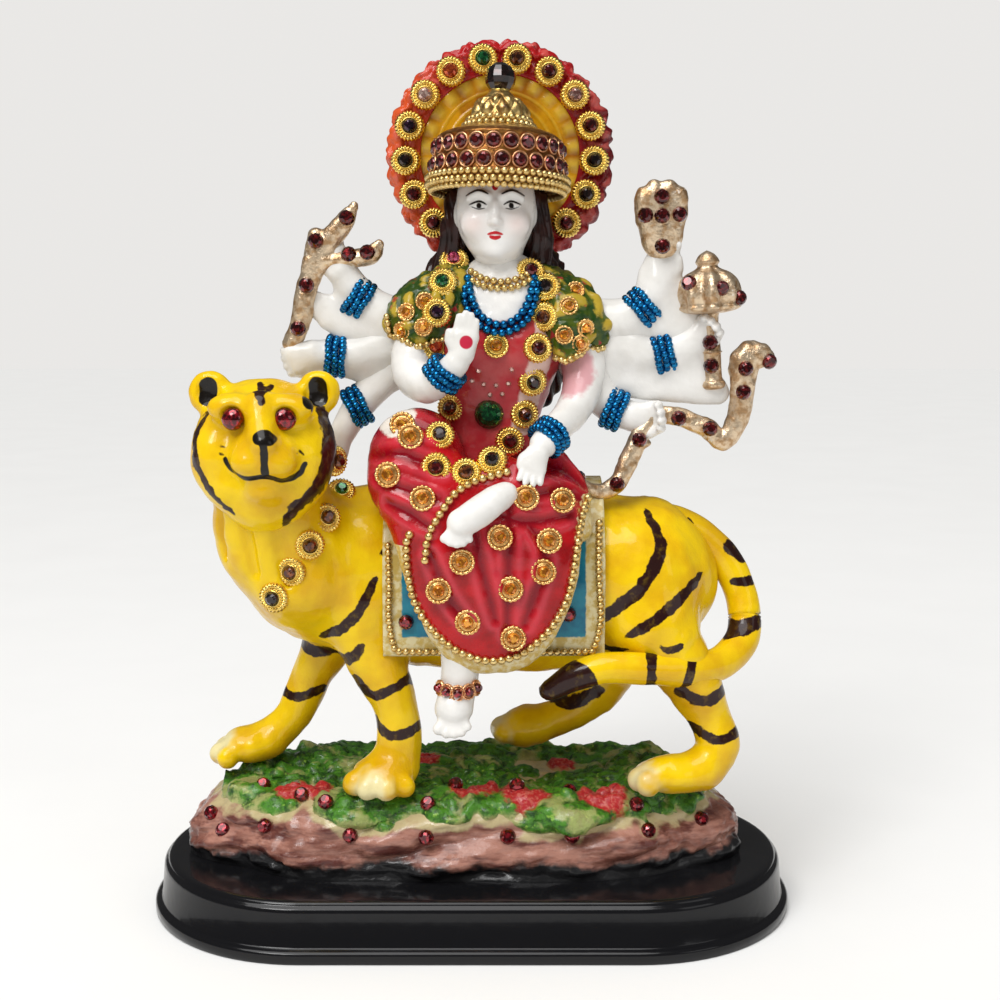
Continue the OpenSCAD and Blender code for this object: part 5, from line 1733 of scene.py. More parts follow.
@dataclass
class Arm:
    """One arm with its hand and beaded bracelet."""

    node: str
    path: tuple
    radii: tuple
    hand: Hand
    wrist: Point
    along: Point
    band: float = 4.3
    web: tuple = ()

    def clay(self) -> Clay:
        """Returns the arm's clay."""
        clay = Clay(2.4, 0.42)
        clay.limb(self.path, self.radii)
        for path, radii in self.web:
            clay.limb(path, radii, squash=(1, 0.45, 1), melt=3)
        self.hand.add(clay)
        return clay

    def beads(self, rows: int = 3, count: int = 21, size: float = 1.85) -> list[Array]:
        """Returns the frames of the bracelet's beads."""
        frame = aim(self.wrist, self.along)
        frames = []
        for row in range(rows):
            lift = (row - (rows - 1) / 2) * size * 0.86
            for k in range(count):
                a = 2 * math.pi * (k + 0.5 * (row % 2)) / count
                wobble = 0.12 * math.sin(5.1 * k + 2.3 * row)
                place = frame @ np.array([self.band * math.cos(a), self.band * math.sin(a), lift + wobble,
                    1.0])
                frames.append(aim(place[:3], (0, -1, 0), 0.0, size))
        return frames


ARMS = (
    Arm("arm_front_right", ((-8, -3, 144), (-12.4, -6, 136), (-13.2, -9, 130), (-9.6, -14, 127.4),
        (-6, -18, 129.6), (-3, -20, 132.6)), (6.2, 5.6, 4.8, 4.2, 3.4, 3.0),
        Hand((-1.2, -20.4, 136.6), (0.16, -0.02, 1), (1, 0, 0), 1.0, 0.05, 0.0), (-5.6, -18.2, 130.2),
        (0.6, -0.25, 0.72), 4.1),
    Arm("arm_upper_right", ((-8, -1, 143), (-15, -2, 141.6), (-21, -3, 143.8), (-26, -4, 148.2),
        (-29.4, -4.8, 153.2)), (6, 5.4, 4.5, 3.8, 3.3), Hand((-31.2, -5.6, 155.4), (-0.45, 0, 1),
        (1, 0, 0.3), 1.1, 1.0), (-26.2, -4, 147.0), (-0.83, -0.1, 0.55),
        web=((((-36, -5, 146), (-29, -4.4, 142), (-18, -3, 139)), (2.8, 4.8, 5.6)),)),
    Arm("arm_middle_right", ((-8, 0, 140), (-17, -1, 137.2), (-25, -3, 134.4), (-32, -4, 133.6),
        (-36, -4.6, 133.9)), (6, 5.4, 4.6, 3.9, 3.5), Hand((-38.8, -6, 133.6), (-0.9, -0.1, -0.3),
        (0.3, 0, 1), 1.15, 1.0), (-31.6, -4, 133.7), (-1, -0.05, 0.08),
        web=((((-30, -3, 133), (-20, -2, 130)), (3.2, 5.2)),)),
    Arm("arm_lower_right", ((-8, 1, 138), (-16, 0, 133), (-22, -1, 127.4), (-27, -2, 121.4),
        (-29.6, -3, 117)), (6, 5.2, 4.3, 3.6, 3.1), Hand((-31.2, -4, 113.6), (-0.42, -0.2, -1), (1, 0, -0.4),
        1.0, 0.5), (-27.0, -2, 121.8), (-0.9, -0.1, -0.45)),
    Arm("arm_front_left", ((24, -2, 142), (26.2, -4, 134), (26.2, -6.8, 127), (23.6, -11.4, 121.4),
        (19.4, -17, 117.6), (16.6, -21.6, 114.6)), (6.2, 5.4, 4.6, 4.0, 3.4, 3.1),
        Hand((14.8, -24.6, 111.4), (-0.3, -0.35, -1), (1, 0, -0.3), 0.88, 0.2, 0.1), (18.0, -19.2, 116.0),
        (-0.75, -0.6, -0.62), 3.9),
    Arm("arm_upper_left", ((24, -1, 142), (31, -2.4, 141.4), (36.6, -3.4, 142.4), (41, -4, 146.0),
        (43.6, -4.4, 150.6)), (6.2, 5.5, 4.6, 3.9, 3.4), Hand((44.4, -4.8, 153.6), (0.1, 0.1, 1),
        (-1, 0, 0.1), 1.1, 0.5), (40.2, -4, 144.9), (0.75, 0, 0.66),
        web=((((43, -4.4, 153), (47, -4.6, 148), (49, -4.6, 141)), (3.6, 4.4, 4.6)),
        (((38, -3.4, 141), (46, -4, 141)), (4.6, 4.8)))),
    Arm("arm_middle_left", ((24, 0, 140), (33, -1.4, 137.4), (40, -3, 134.8), (46, -4, 134.4),
        (50.6, -4.6, 136.2)), (6.2, 5.6, 4.8, 4.1, 3.7), Hand((53.4, -5.4, 138.6), (0.7, -0.1, 0.65),
        (-0.5, 0, 1), 1.1, 1.0), (45.0, -4, 134.3), (0.97, 0, 0.25),
        web=((((28, -2, 132), (38, -3.4, 128.5), (49, -4.6, 126.6), (58, -5, 125)), (5.4, 4.6, 3.8, 2.6)),
        (((52, -4.8, 136), (54, -5, 130)), (3.4, 3.2)))),
    Arm("arm_lower_left", ((24, 1, 137), (27.0, -1, 130.8), (30, -3, 125.2), (34, -4, 121.2),
        (37.4, -5, 119.8)), (6, 5.4, 4.6, 3.9, 3.5), Hand((40.4, -5.8, 119.4), (0.95, -0.1, 0.1),
        (0.1, 0, 1), 1.15, 1.0), (33.9, -4, 121.2), (0.93, -0.1, -0.36)),
)


@dataclass
class Figure:
    """The goddess: torso, head, hair, eight arms and the shawl."""

    finishes: Palette

    def torso(self) -> Shape:
        """Makes the blouse with the bare neckline."""
        clay = Clay(4.0, 0.5)
        clay.limb([(4.2, -3, 110), (4.8, -3, 119), (5.8, -2.8, 127), (6.8, -2.6, 136), (7.8, -1.6, 143)],
                  [13.5, 11.2, 12.4, 14.6, 14.6], squash=(1, 0.72, 1))
        clay.lump((0.4, -9.2, 135.6), (5.6, 4.6, 5.4)).lump((12.6, -9.2, 135), (5.6, 4.6, 5.4))
        clay.lump((7.8, -1, 146), (12, 6.5, 4)).limb([(7.8, -2.4, 146), (7.4, -3.2, 153)], [6.2, 5.2],
            melt=2.5)
        shape = clay.skin()
        p, n = shape.points, normals(shape)
        drape = noise3(p * (1, 1, 0.5), 4.5, 41)
        shape.points = p + n * (0.45 * drape + 0.15 * noise3(p, 1.8, 42))[:, None]
        neck = np.hypot(p[:, 0] - 7.0, (p[:, 2] - 152.5) * 0.86) - 9.0
        stole = Stroke(((15.0, 152), (17.5, 140), (14.4, 127), (12.0, 118)), 5.0, (-50, 6), True).distance(p)
        marks = {"bare": neck, "stole": stole}
        settle(shape.object("torso_blouse", self.finishes.blouse, marks=marks), "blouse_paint", "torso",
            seat=self.seat)
        return shape

    def head(self) -> None:
        """Makes the head with its painted face."""
        c = np.array([5.8, -4.4, 167.0])
        clay = Clay(1.8, 0.27)
        clay.lump(c + (0.2, 1.5, 3), (9.0, 9.6, 10.4), melt=3)
        clay.lump(c + (0, -1.4, -1.8), (8.7, 8.2, 9.2), melt=3).lump(c + (0, -4.6, -7.4), (4.9, 4.4, 4.0),
            melt=3.4)
        clay.lump(c + (0, -7.6, -9.2), (1.9, 1.5, 1.5), melt=2.2)
        clay.limb([c + (0.6, 2.2, -8), c + (1.6, 3, -16)], [5.6, 5.0], melt=3)
        clay.limb([c + (0, -9.0, 1.0), c + (0, -9.9, -1.4), c + (0, -10.6, -2.7)], [0.95, 0.95, 1.15],
            melt=1.3)
        for s in (-1, 1):
            clay.lump(c + (s * 4.3, -7.0, -3.2), (3.2, 2.6, 2.8), melt=2.6)
            clay.lump(c + (s * 0.95, -10.0, -2.9), (0.75, 0.8, 0.62), melt=0.6)
            clay.lump(c + (s * 3.7, -9.8, 1.0), (2.3, 1.0, 1.2), cut=True, melt=1.4)
            clay.lump(c + (s * 3.7, -7.3, 0.8), (1.95, 1.35, 1.0), melt=0.4)
            clay.limb([c + (s * 1.6, -9.0, 3.0), c + (s * 3.8, -8.8, 3.7), c + (s * 6.0, -7.2, 2.7)],
                [0.55, 0.6, 0.4], melt=1.2)
            clay.lump(c + (s * 8.6, 0.8, -0.8), (1.1, 1.8, 2.8), melt=0.8)
        clay.limb([c + (-1.5, -8.9, -5.5), c + (0, -9.5, -5.25), c + (1.5, -8.9, -5.5)], [0.3, 0.55, 0.3],
            melt=0.5)
        clay.limb([c + (-1.1, -8.8, -6.35), c + (0, -9.2, -6.5), c + (1.1, -8.8, -6.35)], [0.35, 0.62, 0.35],
            melt=0.5)
        shape = clay.skin()
        p = shape.points - c
        front = (-30.0, -2.0)

        def painted(strokes: Sequence) -> Array:
            """Returns the distance to strokes given as line and width, drawn from the face's middle."""
            return np.min([Stroke(line, width, front).distance(p) for line, width in strokes], axis=0)

        dark, eye, lips = [], [], [(((-1.7, -5.65), (0, -5.3), (1.7, -5.65)), 0.75),
            (((-1.2, -6.15), (0, -6.45), (1.2, -6.15)), 0.95)]
        for s in (-1, 1):
            eye.append((((s * 2.0, 0.7), (s * 3.8, 0.95), (s * 5.5, 0.75)), 1.7))
            dark.append((((s * 1.9, 0.95), (s * 3.6, 1.75), (s * 5.9, 1.0)), 0.5))
            dark.append((((s * 2.3, 0.2), (s * 3.8, 0.0), (s * 5.5, 0.6)), 0.3))
            dark.append((((s * 3.62, 1.0), (s * 3.68, 0.55)), 1.15))
            dark.append((((s * 1.5, 3.3), (s * 3.9, 4.2), (s * 6.6, 3.1)), 0.62))
        blush = sum(np.exp(-((p[:, 0] - s * 5.0) ** 2 + (p[:, 2] + 3.4) ** 2) / 6.0) for s in (-1, 1))
        marks = {"dark": painted(dark), "eye": painted(eye), "lips": painted(lips),
                 "dot": np.where(p[:, 1] < -2, np.hypot(p[:, 0], (p[:, 2] - 5.0) * 0.8) - 0.72, 9.0),
                 "blush": np.where(p[:, 1] < 0, blush, 0.0)}
        settle(shape.object("head_cast", self.finishes.face, marks=marks), "white_paint", "head",
            seat=self.seat)

    def hair(self) -> None:
        """Makes the long hair behind the shoulders."""
        clay = Clay(3.0, 0.5)
        clay.lump((6, 1.4, 168), (11.2, 9.0, 11))
        clay.limb([(6.2, 4, 166), (6, 5.5, 154), (6, 7, 144), (7, 8, 134), (8, 9, 124)], [12, 15, 19, 17, 9],
                  squash=(1, 0.3, 1))
        for s in (-1, 1):
            clay.limb([(6 + s * 9.2, -1.5, 170), (6 + s * 10.2, -1.5, 163), (6 + s * 10.6, 0, 156),
                       (6 + s * 12.4, 2, 149)], [2.4, 2.8, 3.2, 3.6], melt=1.6)
        shape = clay.skin()
        p, n = shape.points, normals(shape)
        phase = p[:, 0] * 2.1 + 1.6 * np.sin(p[:, 2] * 0.34) + 1.1 * noise3(p, 8, 43)
        shape.points = p + n * (0.34 * np.sin(phase * 1.5) + 0.3 * noise3(p, 3, 44))[:, None]
        settle(shape.object("hair_cast", self.finishes.hair), "hair_paint", "hair", seat=self.seat)

    def shawl(self) -> Shape:
        """Makes both halves of the shawl and returns their surface."""
        clay = Clay(3.0, 0.45)
        clay.limb([(-3.5, -2, 151), (-9, -3.5, 147.4), (-14, -5, 143.4), (-17.2, -6, 140.6)],
            [6.0, 7.2, 6.4, 3.0], squash=(1, 0.92, 0.78))
        clay.limb([(-4.4, -7, 147), (-8.6, -9, 142), (-12, -9.4, 139.2)], [4.2, 5.0, 3.6], squash=(1, 0.8, 1))
        clay.limb([(18, -2, 150.6), (22.6, -3.5, 146.4), (26.6, -5, 141.6), (29.4, -6, 137.4)],
            [5.6, 7.0, 6.2, 2.8], squash=(1, 0.92, 0.8))
        clay.limb([(19, -7, 146), (22, -9, 140.4), (22.6, -9.6, 135.8)], [4.2, 5.0, 3.4], squash=(1, 0.8, 1))
        shape = clay.skin()
        p, n = shape.points, normals(shape)
        leaf = np.abs(noise3(p, 3.1, 45)) * 1.7
        shape.points = p + n * (leaf * 0.8 - 0.35 + 0.2 * noise3(p, 1.3, 46))[:, None]
        settle(shape.object("shawl_cast", self.finishes.shawl, marks={"crest_sheen_and_gilt": leaf}), "shawl_paint",
            "shawl", seat=self.seat)
        left = [(-19.0, -8, 142.8), (-18.2, -9, 138.9), (-13.8, -12, 136.4), (-9.2, -13, 135.4),
            (-6.2, -13, 138)]
        right = [(30.6, -7, 136), (25.6, -10, 134.5), (20.7, -12, 132.4), (18.2, -13, 131.2)]
        cover = Cover(shape)
        frames = []
        for line in (left, right):
            frames += strand(cover.places(smooth(line, 8), 0.35), 1.7, 1.75)
        settle(bead().moved(frames).object("shawl_bead_rows", self.finishes.bead_gold), "gold_bead",
               "shawl_beads", seat=self.seat)
        spots = [(-14.6, -10, 144), (-10.6, -12, 140.6), (-15.6, -11, 139.8), (-10.4, -9, 146.4),
            (-6.6, -12, 144.0), (22.6, -12, 145.4), (26.6, -10, 140.4), (21.6, -12, 138.8),
            (25.4, -11, 136.8), (24.2, -10, 149.0)]
        medals = cover.lay(spots, 0.45, 0.2)
        stones = CutStone(2.3, 0.5).shape().moved([f @ aim((0, 0, 0.45), (0, 0, 1)) for f in medals])
        settle(medallion(4.3, 14).moved(medals).object("shawl_settings", self.finishes.amber_gold),
            "gold_setting", "shawl_medallions", seat=self.seat)
        settle(stones.object("shawl_citrine_stones", self.finishes.citrine, flat=True), "citrine_stone",
            seat=self.seat)
        return shape

    def arms(self) -> list[Shape]:
        """Makes the eight arms and their bracelets, and returns the arms' surfaces."""
        shapes, beads = [], []
        for arm in ARMS:
            shape = arm.clay().skin()
            p = shape.points
            shape.points = p + normals(shape) * (0.14 * noise3(p, 3.2, 47))[:, None]
            palm = np.hypot(p[:, 0] + 0.6, p[:, 2] - 137.4) - 1.5
            palm = np.where((arm.node == "arm_front_right") & (p[:, 1] < -20), palm, 9.0)
            tint = np.hypot(p[:, 0] - 22.5, p[:, 2] - 131) - 6.5
            tint = np.where((arm.node == "arm_front_left") & (p[:, 2] > 124), tint, 9.0)
            marks = {"dot": palm, "tint": tint}
            settle(shape.object(arm.node + "_cast", self.finishes.skin, marks=marks), "white_paint",
                arm.node, seat=self.seat)
            shapes.append(shape)
            beads += arm.beads()
        settle(bead().moved(beads).object("bracelet_beads", self.finishes.blue), "blue_bead", "bracelets",
            seat=self.seat)
        return shapes

    def build(self) -> None:
        """Makes the whole figure and keeps its surfaces for the jewellery."""
        self.seat = Seat("torso", (7.3, -2.4, 128.5))
        torso = self.torso()
        self.head()
        self.hair()
        shawl = self.shawl()
        arms = self.arms()
        self.finishes.surfaces += [torso, shawl, *arms]
        self.finishes.bust = torso + shawl


# ---------------------------------------------------------------- crown, halo and jewellery


@dataclass(frozen=True)
class HaloPaint(Lacquer):
    """Crimson halo rim with painted light: orange on the lit left side, maroon painted shade on the right
    side and painted highlights on the raised knobs.
    """

    def colouring(self, tree: Tree) -> Sock:
        """Returns the paint's colour; the mesh carries its place across the halo as across."""
        # Painted light: orange as the lit left side, then crimson, then maroon as painted shade on the right.
        across = tree.paint("across") + tree.noise(8.0, 3.0) * 0.3 - 0.15
        lit_side_colour = tree.blend((0.62, 0.09, 0.02), self.colour, across.step(-0.95, -0.35))
        base = tree.blend(lit_side_colour, self.shade, across.step(0.35, 1.0))
        # Painted highlight: light red on the raised knobs.
        return tree.blend(base, (0.72, 0.16, 0.13), tree.paint("crest_sheen_and_gilt").step(0.55, 1.0) * 0.4)


@dataclass(frozen=True)
class PanelPaint(Lacquer):
    """Golden yellow enamel with brushed gold on its relief."""

    def colouring(self, tree: Tree) -> Sock:
        """Returns the paint's colour; the mesh carries the relief as crest."""
        base = tree.blend(self.colour, self.shade, tree.noise(self.blotch, 3.0).step(0.38, 0.62))
        return tree.blend(base, (0.72, 0.48, 0.05), tree.paint("crest_sheen_and_gilt") * 0.8)


class Stone(Enum):
    """Gem colours of the flowers, as the painted glint colour and the deep one."""

    MAROON = ((0.20, 0.008, 0.010), (0.05, 0.003, 0.004))
    VIOLET = ((0.055, 0.010, 0.045), (0.012, 0.003, 0.012))
    BLACK = ((0.035, 0.012, 0.010), (0.008, 0.004, 0.004))
    OPAL = ((0.85, 0.62, 0.52), (0.55, 0.30, 0.26))
    ORANGE = ((0.80, 0.13, 0.02), (0.42, 0.04, 0.01))
    EMERALD = ((0.012, 0.20, 0.05), (0.002, 0.05, 0.015))
    AMBER = ((0.26, 0.07, 0.015), (0.06, 0.014, 0.005))
    BEIGE = ((0.62, 0.42, 0.36), (0.30, 0.12, 0.10))
    PINK = ((0.62, 0.10, 0.22), (0.25, 0.02, 0.06))
    PERIDOT = ((0.30, 0.42, 0.05), (0.10, 0.20, 0.02))
    CITRINE = ((0.80, 0.50, 0.10), (0.45, 0.20, 0.03))


def blossoms(name: str, frames: list, stones: Sequence, width: float, gem: float, finishes: Palette,
             flowers: str, gems: str, seat: Seat | None = None) -> None:
    """Makes a row of gold flowers and their stones.

    Args:
        name: start of the pieces' names.
        frames: place and turn of each flower.
        stones: colour of each flower's stone.
        width: a flower's diameter.
        gem: a stone's diameter.
        finishes: the palette.
        flowers: CAD node of the flowers.
        gems: CAD node of the stones.
        seat: the place that the flowers were drawn around.
    """
    settle(flower(width).moved(frames).object(name + "_flowers", finishes.gold), "gold_setting", flowers,
        seat=seat)
    up = [f @ aim((0, 0, width * 0.17), (0, 0, 1)) for f in frames]
    for colour in Stone:
        mine = [f for f, stone in zip(up, stones) if stone is colour]
        if not mine:
            continue
        label = "%s_%s_stones" % (name, colour.name.lower())
        piece = CutStone(gem, 0.46).shape().moved(mine).object(label, finishes.gem(colour), flat=True)
        settle(piece, "garland_stone", gems, seat=seat)


@dataclass
class Crown:
    """Tall crown: beaded brim, jewelled band, leafy dome and a faceted ball."""

    finishes: Palette
    r: float = 15.4
    band_h: float = 9.0
    bead: float = 1.65
    tilt: float = 3.0
    roll: float = 1.5

    def axis(self) -> Array:
        """Returns the frame of the crown's foot."""
        seat = Seat("crown", (6.44, -3.96, 182.64))
        lean = np.array([math.sin(math.radians(self.roll)), math.sin(math.radians(self.tilt)), 1.0])
        return aim(seat.at([(6.4, -4, 173.2)])[0], lean)

    def ring(self, r: float, z: float, count: int, start: float = 0.0, sweep: float = 360.0) -> list[Array]:
        """Returns frames facing outward on a ring about the crown's axis."""
        frames = []
        for k in range(count):
            a = math.radians(start + sweep * k / count)
            out = np.array([math.cos(a), math.sin(a), 0.0])
            frames.append(aim((r * out[0], r * out[1], z), out))
        return frames

    def dome(self) -> Shape:
        """Returns the band and the leafy dome in the crown's own frame."""
        r, top = self.r, self.band_h + 1.4
        profile = [(r - 3.4, -0.9), (r - 0.8, -1.0), (r + 0.3, -0.4), (r + 0.55, 0.8), (r + 0.2, 1.6),
            (r - 0.1, 2.2), (r - 0.45, 5), (r - 0.9, 8), (r - 1.2, top - 1.2), (r - 1.1, top - 0.3),
            (r - 2.2, top + 0.5), (r - 4.2, top + 1.3), (r - 6.4, top + 1.9), (r - 8.2, top + 2.5),
            (r - 8.9, top + 3.8), (r - 9.2, top + 5.6), (r - 9.8, top + 7.4), (r - 10.8, top + 8.6),
            (r - 11.8, top + 9.1), (r - 12.4, top + 9.8), (2.3, top + 10.6), (2.2, top + 11.2),
            (0.01, top + 11.3)]
        dense = smooth([(a, 0, b) for a, b in profile], 5)[:, [0, 2]]
        shape = lathe([(max(a, 0.01), b) for a, b in dense], 144)
        p = shape.points
        angle = np.arctan2(p[:, 1], p[:, 0])
        over = np.clip((p[:, 2] - top - 1.0) / 1.0, 0, 1) * np.clip((top + 9.6 - p[:, 2]) / 1.0, 0, 1)
        rise = p[:, 2] - top
        leaf = (np.abs(np.sin(angle * 5 + rise * 0.55)) * np.abs(np.sin(angle * 5 - rise * 0.5))) ** 0.6
        band = np.clip(1 - over, 0, 1) * 0.15
        out = np.stack([np.cos(angle), np.sin(angle), 0 * angle], axis=1)
        shape.points = p + out * ((leaf * 1.0 - 0.3) * over + noise3(p, 1.2, 51) * (0.18 * over + band))[:,
            None]
        return shape

    def build(self) -> None:
        """Makes the crown's pieces."""
        axis, r, top = self.axis(), self.r, self.band_h + 1.4
        dome = self.dome().moved([axis])
        middle = np.array([dome.points[list(f)].mean(axis=0) for f in dome.faces])
        upper = (middle - axis[:3, 3]) @ axis[:3, 2] > top + 0.9
        for name, finish, keep in (("crown_cast", self.finishes.copper, ~upper),
                ("crown_dome", self.finishes.leaf_gold, upper)):
            part = Shape(dome.points, [f for f, mine in zip(dome.faces, keep) if mine])
            settle(part.object(name, finish), "crown_paint", "crown")
        size, beads = self.bead, []
        count = int(2 * math.pi * (r + 0.7) / (size * 0.98))
        rows = [(r - 0.1, -1.9, count, 0.0), (r + 0.75, -0.7, count, 0.5), (r + 0.75, 0.9, count, 0.0),
                (r - 7.4, top + 2.5, count // 2 - 1, 0.0), (r - 8.3, top + 3.8, count // 2 - 4, 0.5)]
        for radius, z, n, shift in rows:
            beads += [f @ aim((0, 0, 0), (0, 0, 1), 0.0, size)
                for f in self.ring(radius, z, n, shift * 360 / n)]
        row = bead().moved([axis @ f for f in beads])
        settle(row.object("crown_bead_rows", self.finishes.bead_gold), "gold_bead", "crown_beads")
        stones, wide, n = [], 3.25, 24
        for z, radius, shift in ((3.6, r - 0.15, 0.0), (7.7, r - 0.75, 0.5)):
            stones += [axis @ f for f in self.ring(radius, z, n, shift * 360 / n)]
        settle(bezel(wide, 0.28).moved(stones).object("crown_bezels", self.finishes.rose), "gold_setting")
        settle(CutStone(wide, 0.34).shape().moved(stones).object("crown_garnets",
            self.finishes.gem(Stone.MAROON), flat=True), "red_stone", "crown_stones")
        for name, turn, stone in (("crown_orange", 268, Stone.ORANGE), ("crown_peridot", 232, Stone.PERIDOT),
                ("crown_citrine", 306, Stone.CITRINE)):
            a = math.radians(turn)
            drop = aim(((r - 8.9) * math.cos(a), (r - 8.9) * math.sin(a), top + 6.0),
                (math.cos(a), math.sin(a), 0.3))
            settle(CutStone(2.6, 0.5).shape().moved([axis @ drop]).object(name, self.finishes.gem(stone),
                flat=True), "citrine_stone")
            settle(bezel(2.6, 0.4).moved([axis @ drop]).object(name + "_bezel", self.finishes.bead_gold),
                "gold_setting")
        gem = ball(3.6, 8, 12)
        where = [axis @ aim((0, 0, top + 13.6), (0, 0, 1))]
        settle(gem.moved(where).object("crown_ball", self.finishes.gem(Stone.BLACK), flat=True),
            "black_stone", "crown_finial")
        settle(bezel(3.6, 0.45).moved([axis @ aim((0, 0, top + 10.4), (0, 0, 1))]).object("crown_ball_seat",
            self.finishes.gold), "gold_setting")


@dataclass
class Halo:
    """Scalloped round plate with a golden panel and fourteen flowers."""

    finishes: Palette
    r: float = 27.6
    panel: float = 19.6
    thick: float = 4.0
    count: int = 14
    stones: tuple = (Stone.MAROON, Stone.MAROON, Stone.BLACK, Stone.VIOLET, Stone.OPAL, Stone.ORANGE,
        Stone.EMERALD, Stone.AMBER, Stone.MAROON, Stone.BEIGE, Stone.MAROON, Stone.BLACK, Stone.BLACK,
        Stone.MAROON)

    def plate(self, seat: Array) -> None:
        """Makes the scalloped rim with its rough balls, and the panel."""
        sides, lobes = 360, 34
        a = np.linspace(0, 2 * np.pi, sides, endpoint=False)
        scallop = np.abs(np.cos(lobes / 2 * a)) ** 0.8
        half = self.thick / 2
        rows = [(0.02, half), (0.5, half), (0.9, half * 0.9), (0.975, half * 0.6), (1.0, half * 0.1),
            (0.99, -half * 0.5), (0.955, -half * 0.95), (0.93, -half * 1.1), (0.90, -half * 1.0),
            (0.86, -half * 0.8), (0.82, -half * 0.85), (0.78, -half * 0.8), (0.74, -half * 0.8),
            (0.71, -half * 0.7), (0.70, -half * 0.2), (0.02, -half * 0.2)]
        dense = smooth([(s, 0, y) for s, y in rows], 4)[:, [0, 2]]
        rings = []
        for share, y in dense:
            knob = np.abs(noise3(np.stack([np.cos(a), np.sin(a), 0 * a + y * 0.1], axis=1) * self.r, 2.2, 64))
            wave = ((scallop - 0.7) * 1.0 + knob * 1.3 - 0.4) * np.clip((share - 0.85) / 0.1, 0, 1)
            radius = self.r * max(share, 0.001) + wave - 0.5
            rings.append(np.stack([radius * np.cos(a), np.full(sides, y), radius * np.sin(a)], axis=1))
        p = np.vstack(rings)
        radius = np.hypot(p[:, 0], p[:, 2])
        front = np.clip(-p[:, 1] / 0.8, 0, 1) * np.clip((radius / self.r - 0.72) / 0.04, 0, 1)
        lump = np.abs(noise3(p, 2.9, 61)) * 1.5 + np.abs(noise3(p, 1.5, 62)) * 0.7
        p[:, 1] -= (lump - 0.5) * front
        shape = Shape(p + seat, grid_faces(len(rings), sides))
        shape.faces = [f[::-1] for f in shape.faces]
        # The across mark places the painted lit side and shade; the knob mark places the painted highlights.
        piece = shape.object("halo_rim", self.finishes.halo,
            marks={"across": p[:, 0] / self.r, "crest_sheen_and_gilt": lump * front})
        settle(piece, "halo_red_paint", "halo_plate")
        shares = np.linspace(0.001, 1, 60)
        rings = [np.stack([self.panel * s * np.cos(a), np.full(sides, -half * 0.5),
            self.panel * s * np.sin(a)], axis=1) for s in shares]
        rings.append(np.stack([self.panel * np.cos(a), np.full(sides, half * 0.1), self.panel * np.sin(a)],
            axis=1))
        p = np.vstack(rings)
        radius, angle = np.hypot(p[:, 0], p[:, 2]), np.arctan2(p[:, 2], p[:, 0])
        rays = np.abs(np.sin(angle * 13)) ** 1.5 * np.clip((radius - 15.6) / 1.4, 0,
            1) * np.clip((19.6 - radius) / 0.8, 0, 1)
        lines = np.clip(np.sin(radius * 2.6) * 1.2 - 0.5, 0, 1) * np.clip((15.8 - radius) / 0.6, 0, 1)
        crest_sheen_and_gilt = np.clip(rays + lines * 0.8, 0, 1)
        p[:-sides, 1] -= (crest_sheen_and_gilt * 0.45 + 0.2 * noise3(p, 4, 63))[:-sides]
        shape = Shape(p + seat, grid_faces(len(rings), sides))
        settle(shape.object("halo_gold_panel", self.finishes.panel, marks={"crest_sheen_and_gilt": crest_sheen_and_gilt}),
            "halo_gold_paint", "halo_panel")

    def build(self) -> None:
        """Makes the plate, the panel and the flowers."""
        seat = Seat("halo_plate", (6.8, 12, 180.4)).at([(6.9, 12, 181.2)])[0]
        self.plate(seat)
        frames = []
        for k in range(self.count):
            a = math.radians(225 - 270 * k / (self.count - 1))
            place = seat + (22.6 * math.cos(a), -self.thick / 2 - 0.7, 22.6 * math.sin(a))
            frames.append(aim(place, (0.05 * math.cos(k * 2.1), -1, 0.05 * math.sin(k * 1.3)), 0.4 * k))
        blossoms("halo", frames, self.stones, 7.2, 3.5, self.finishes, "halo_flowers", "halo_gems")


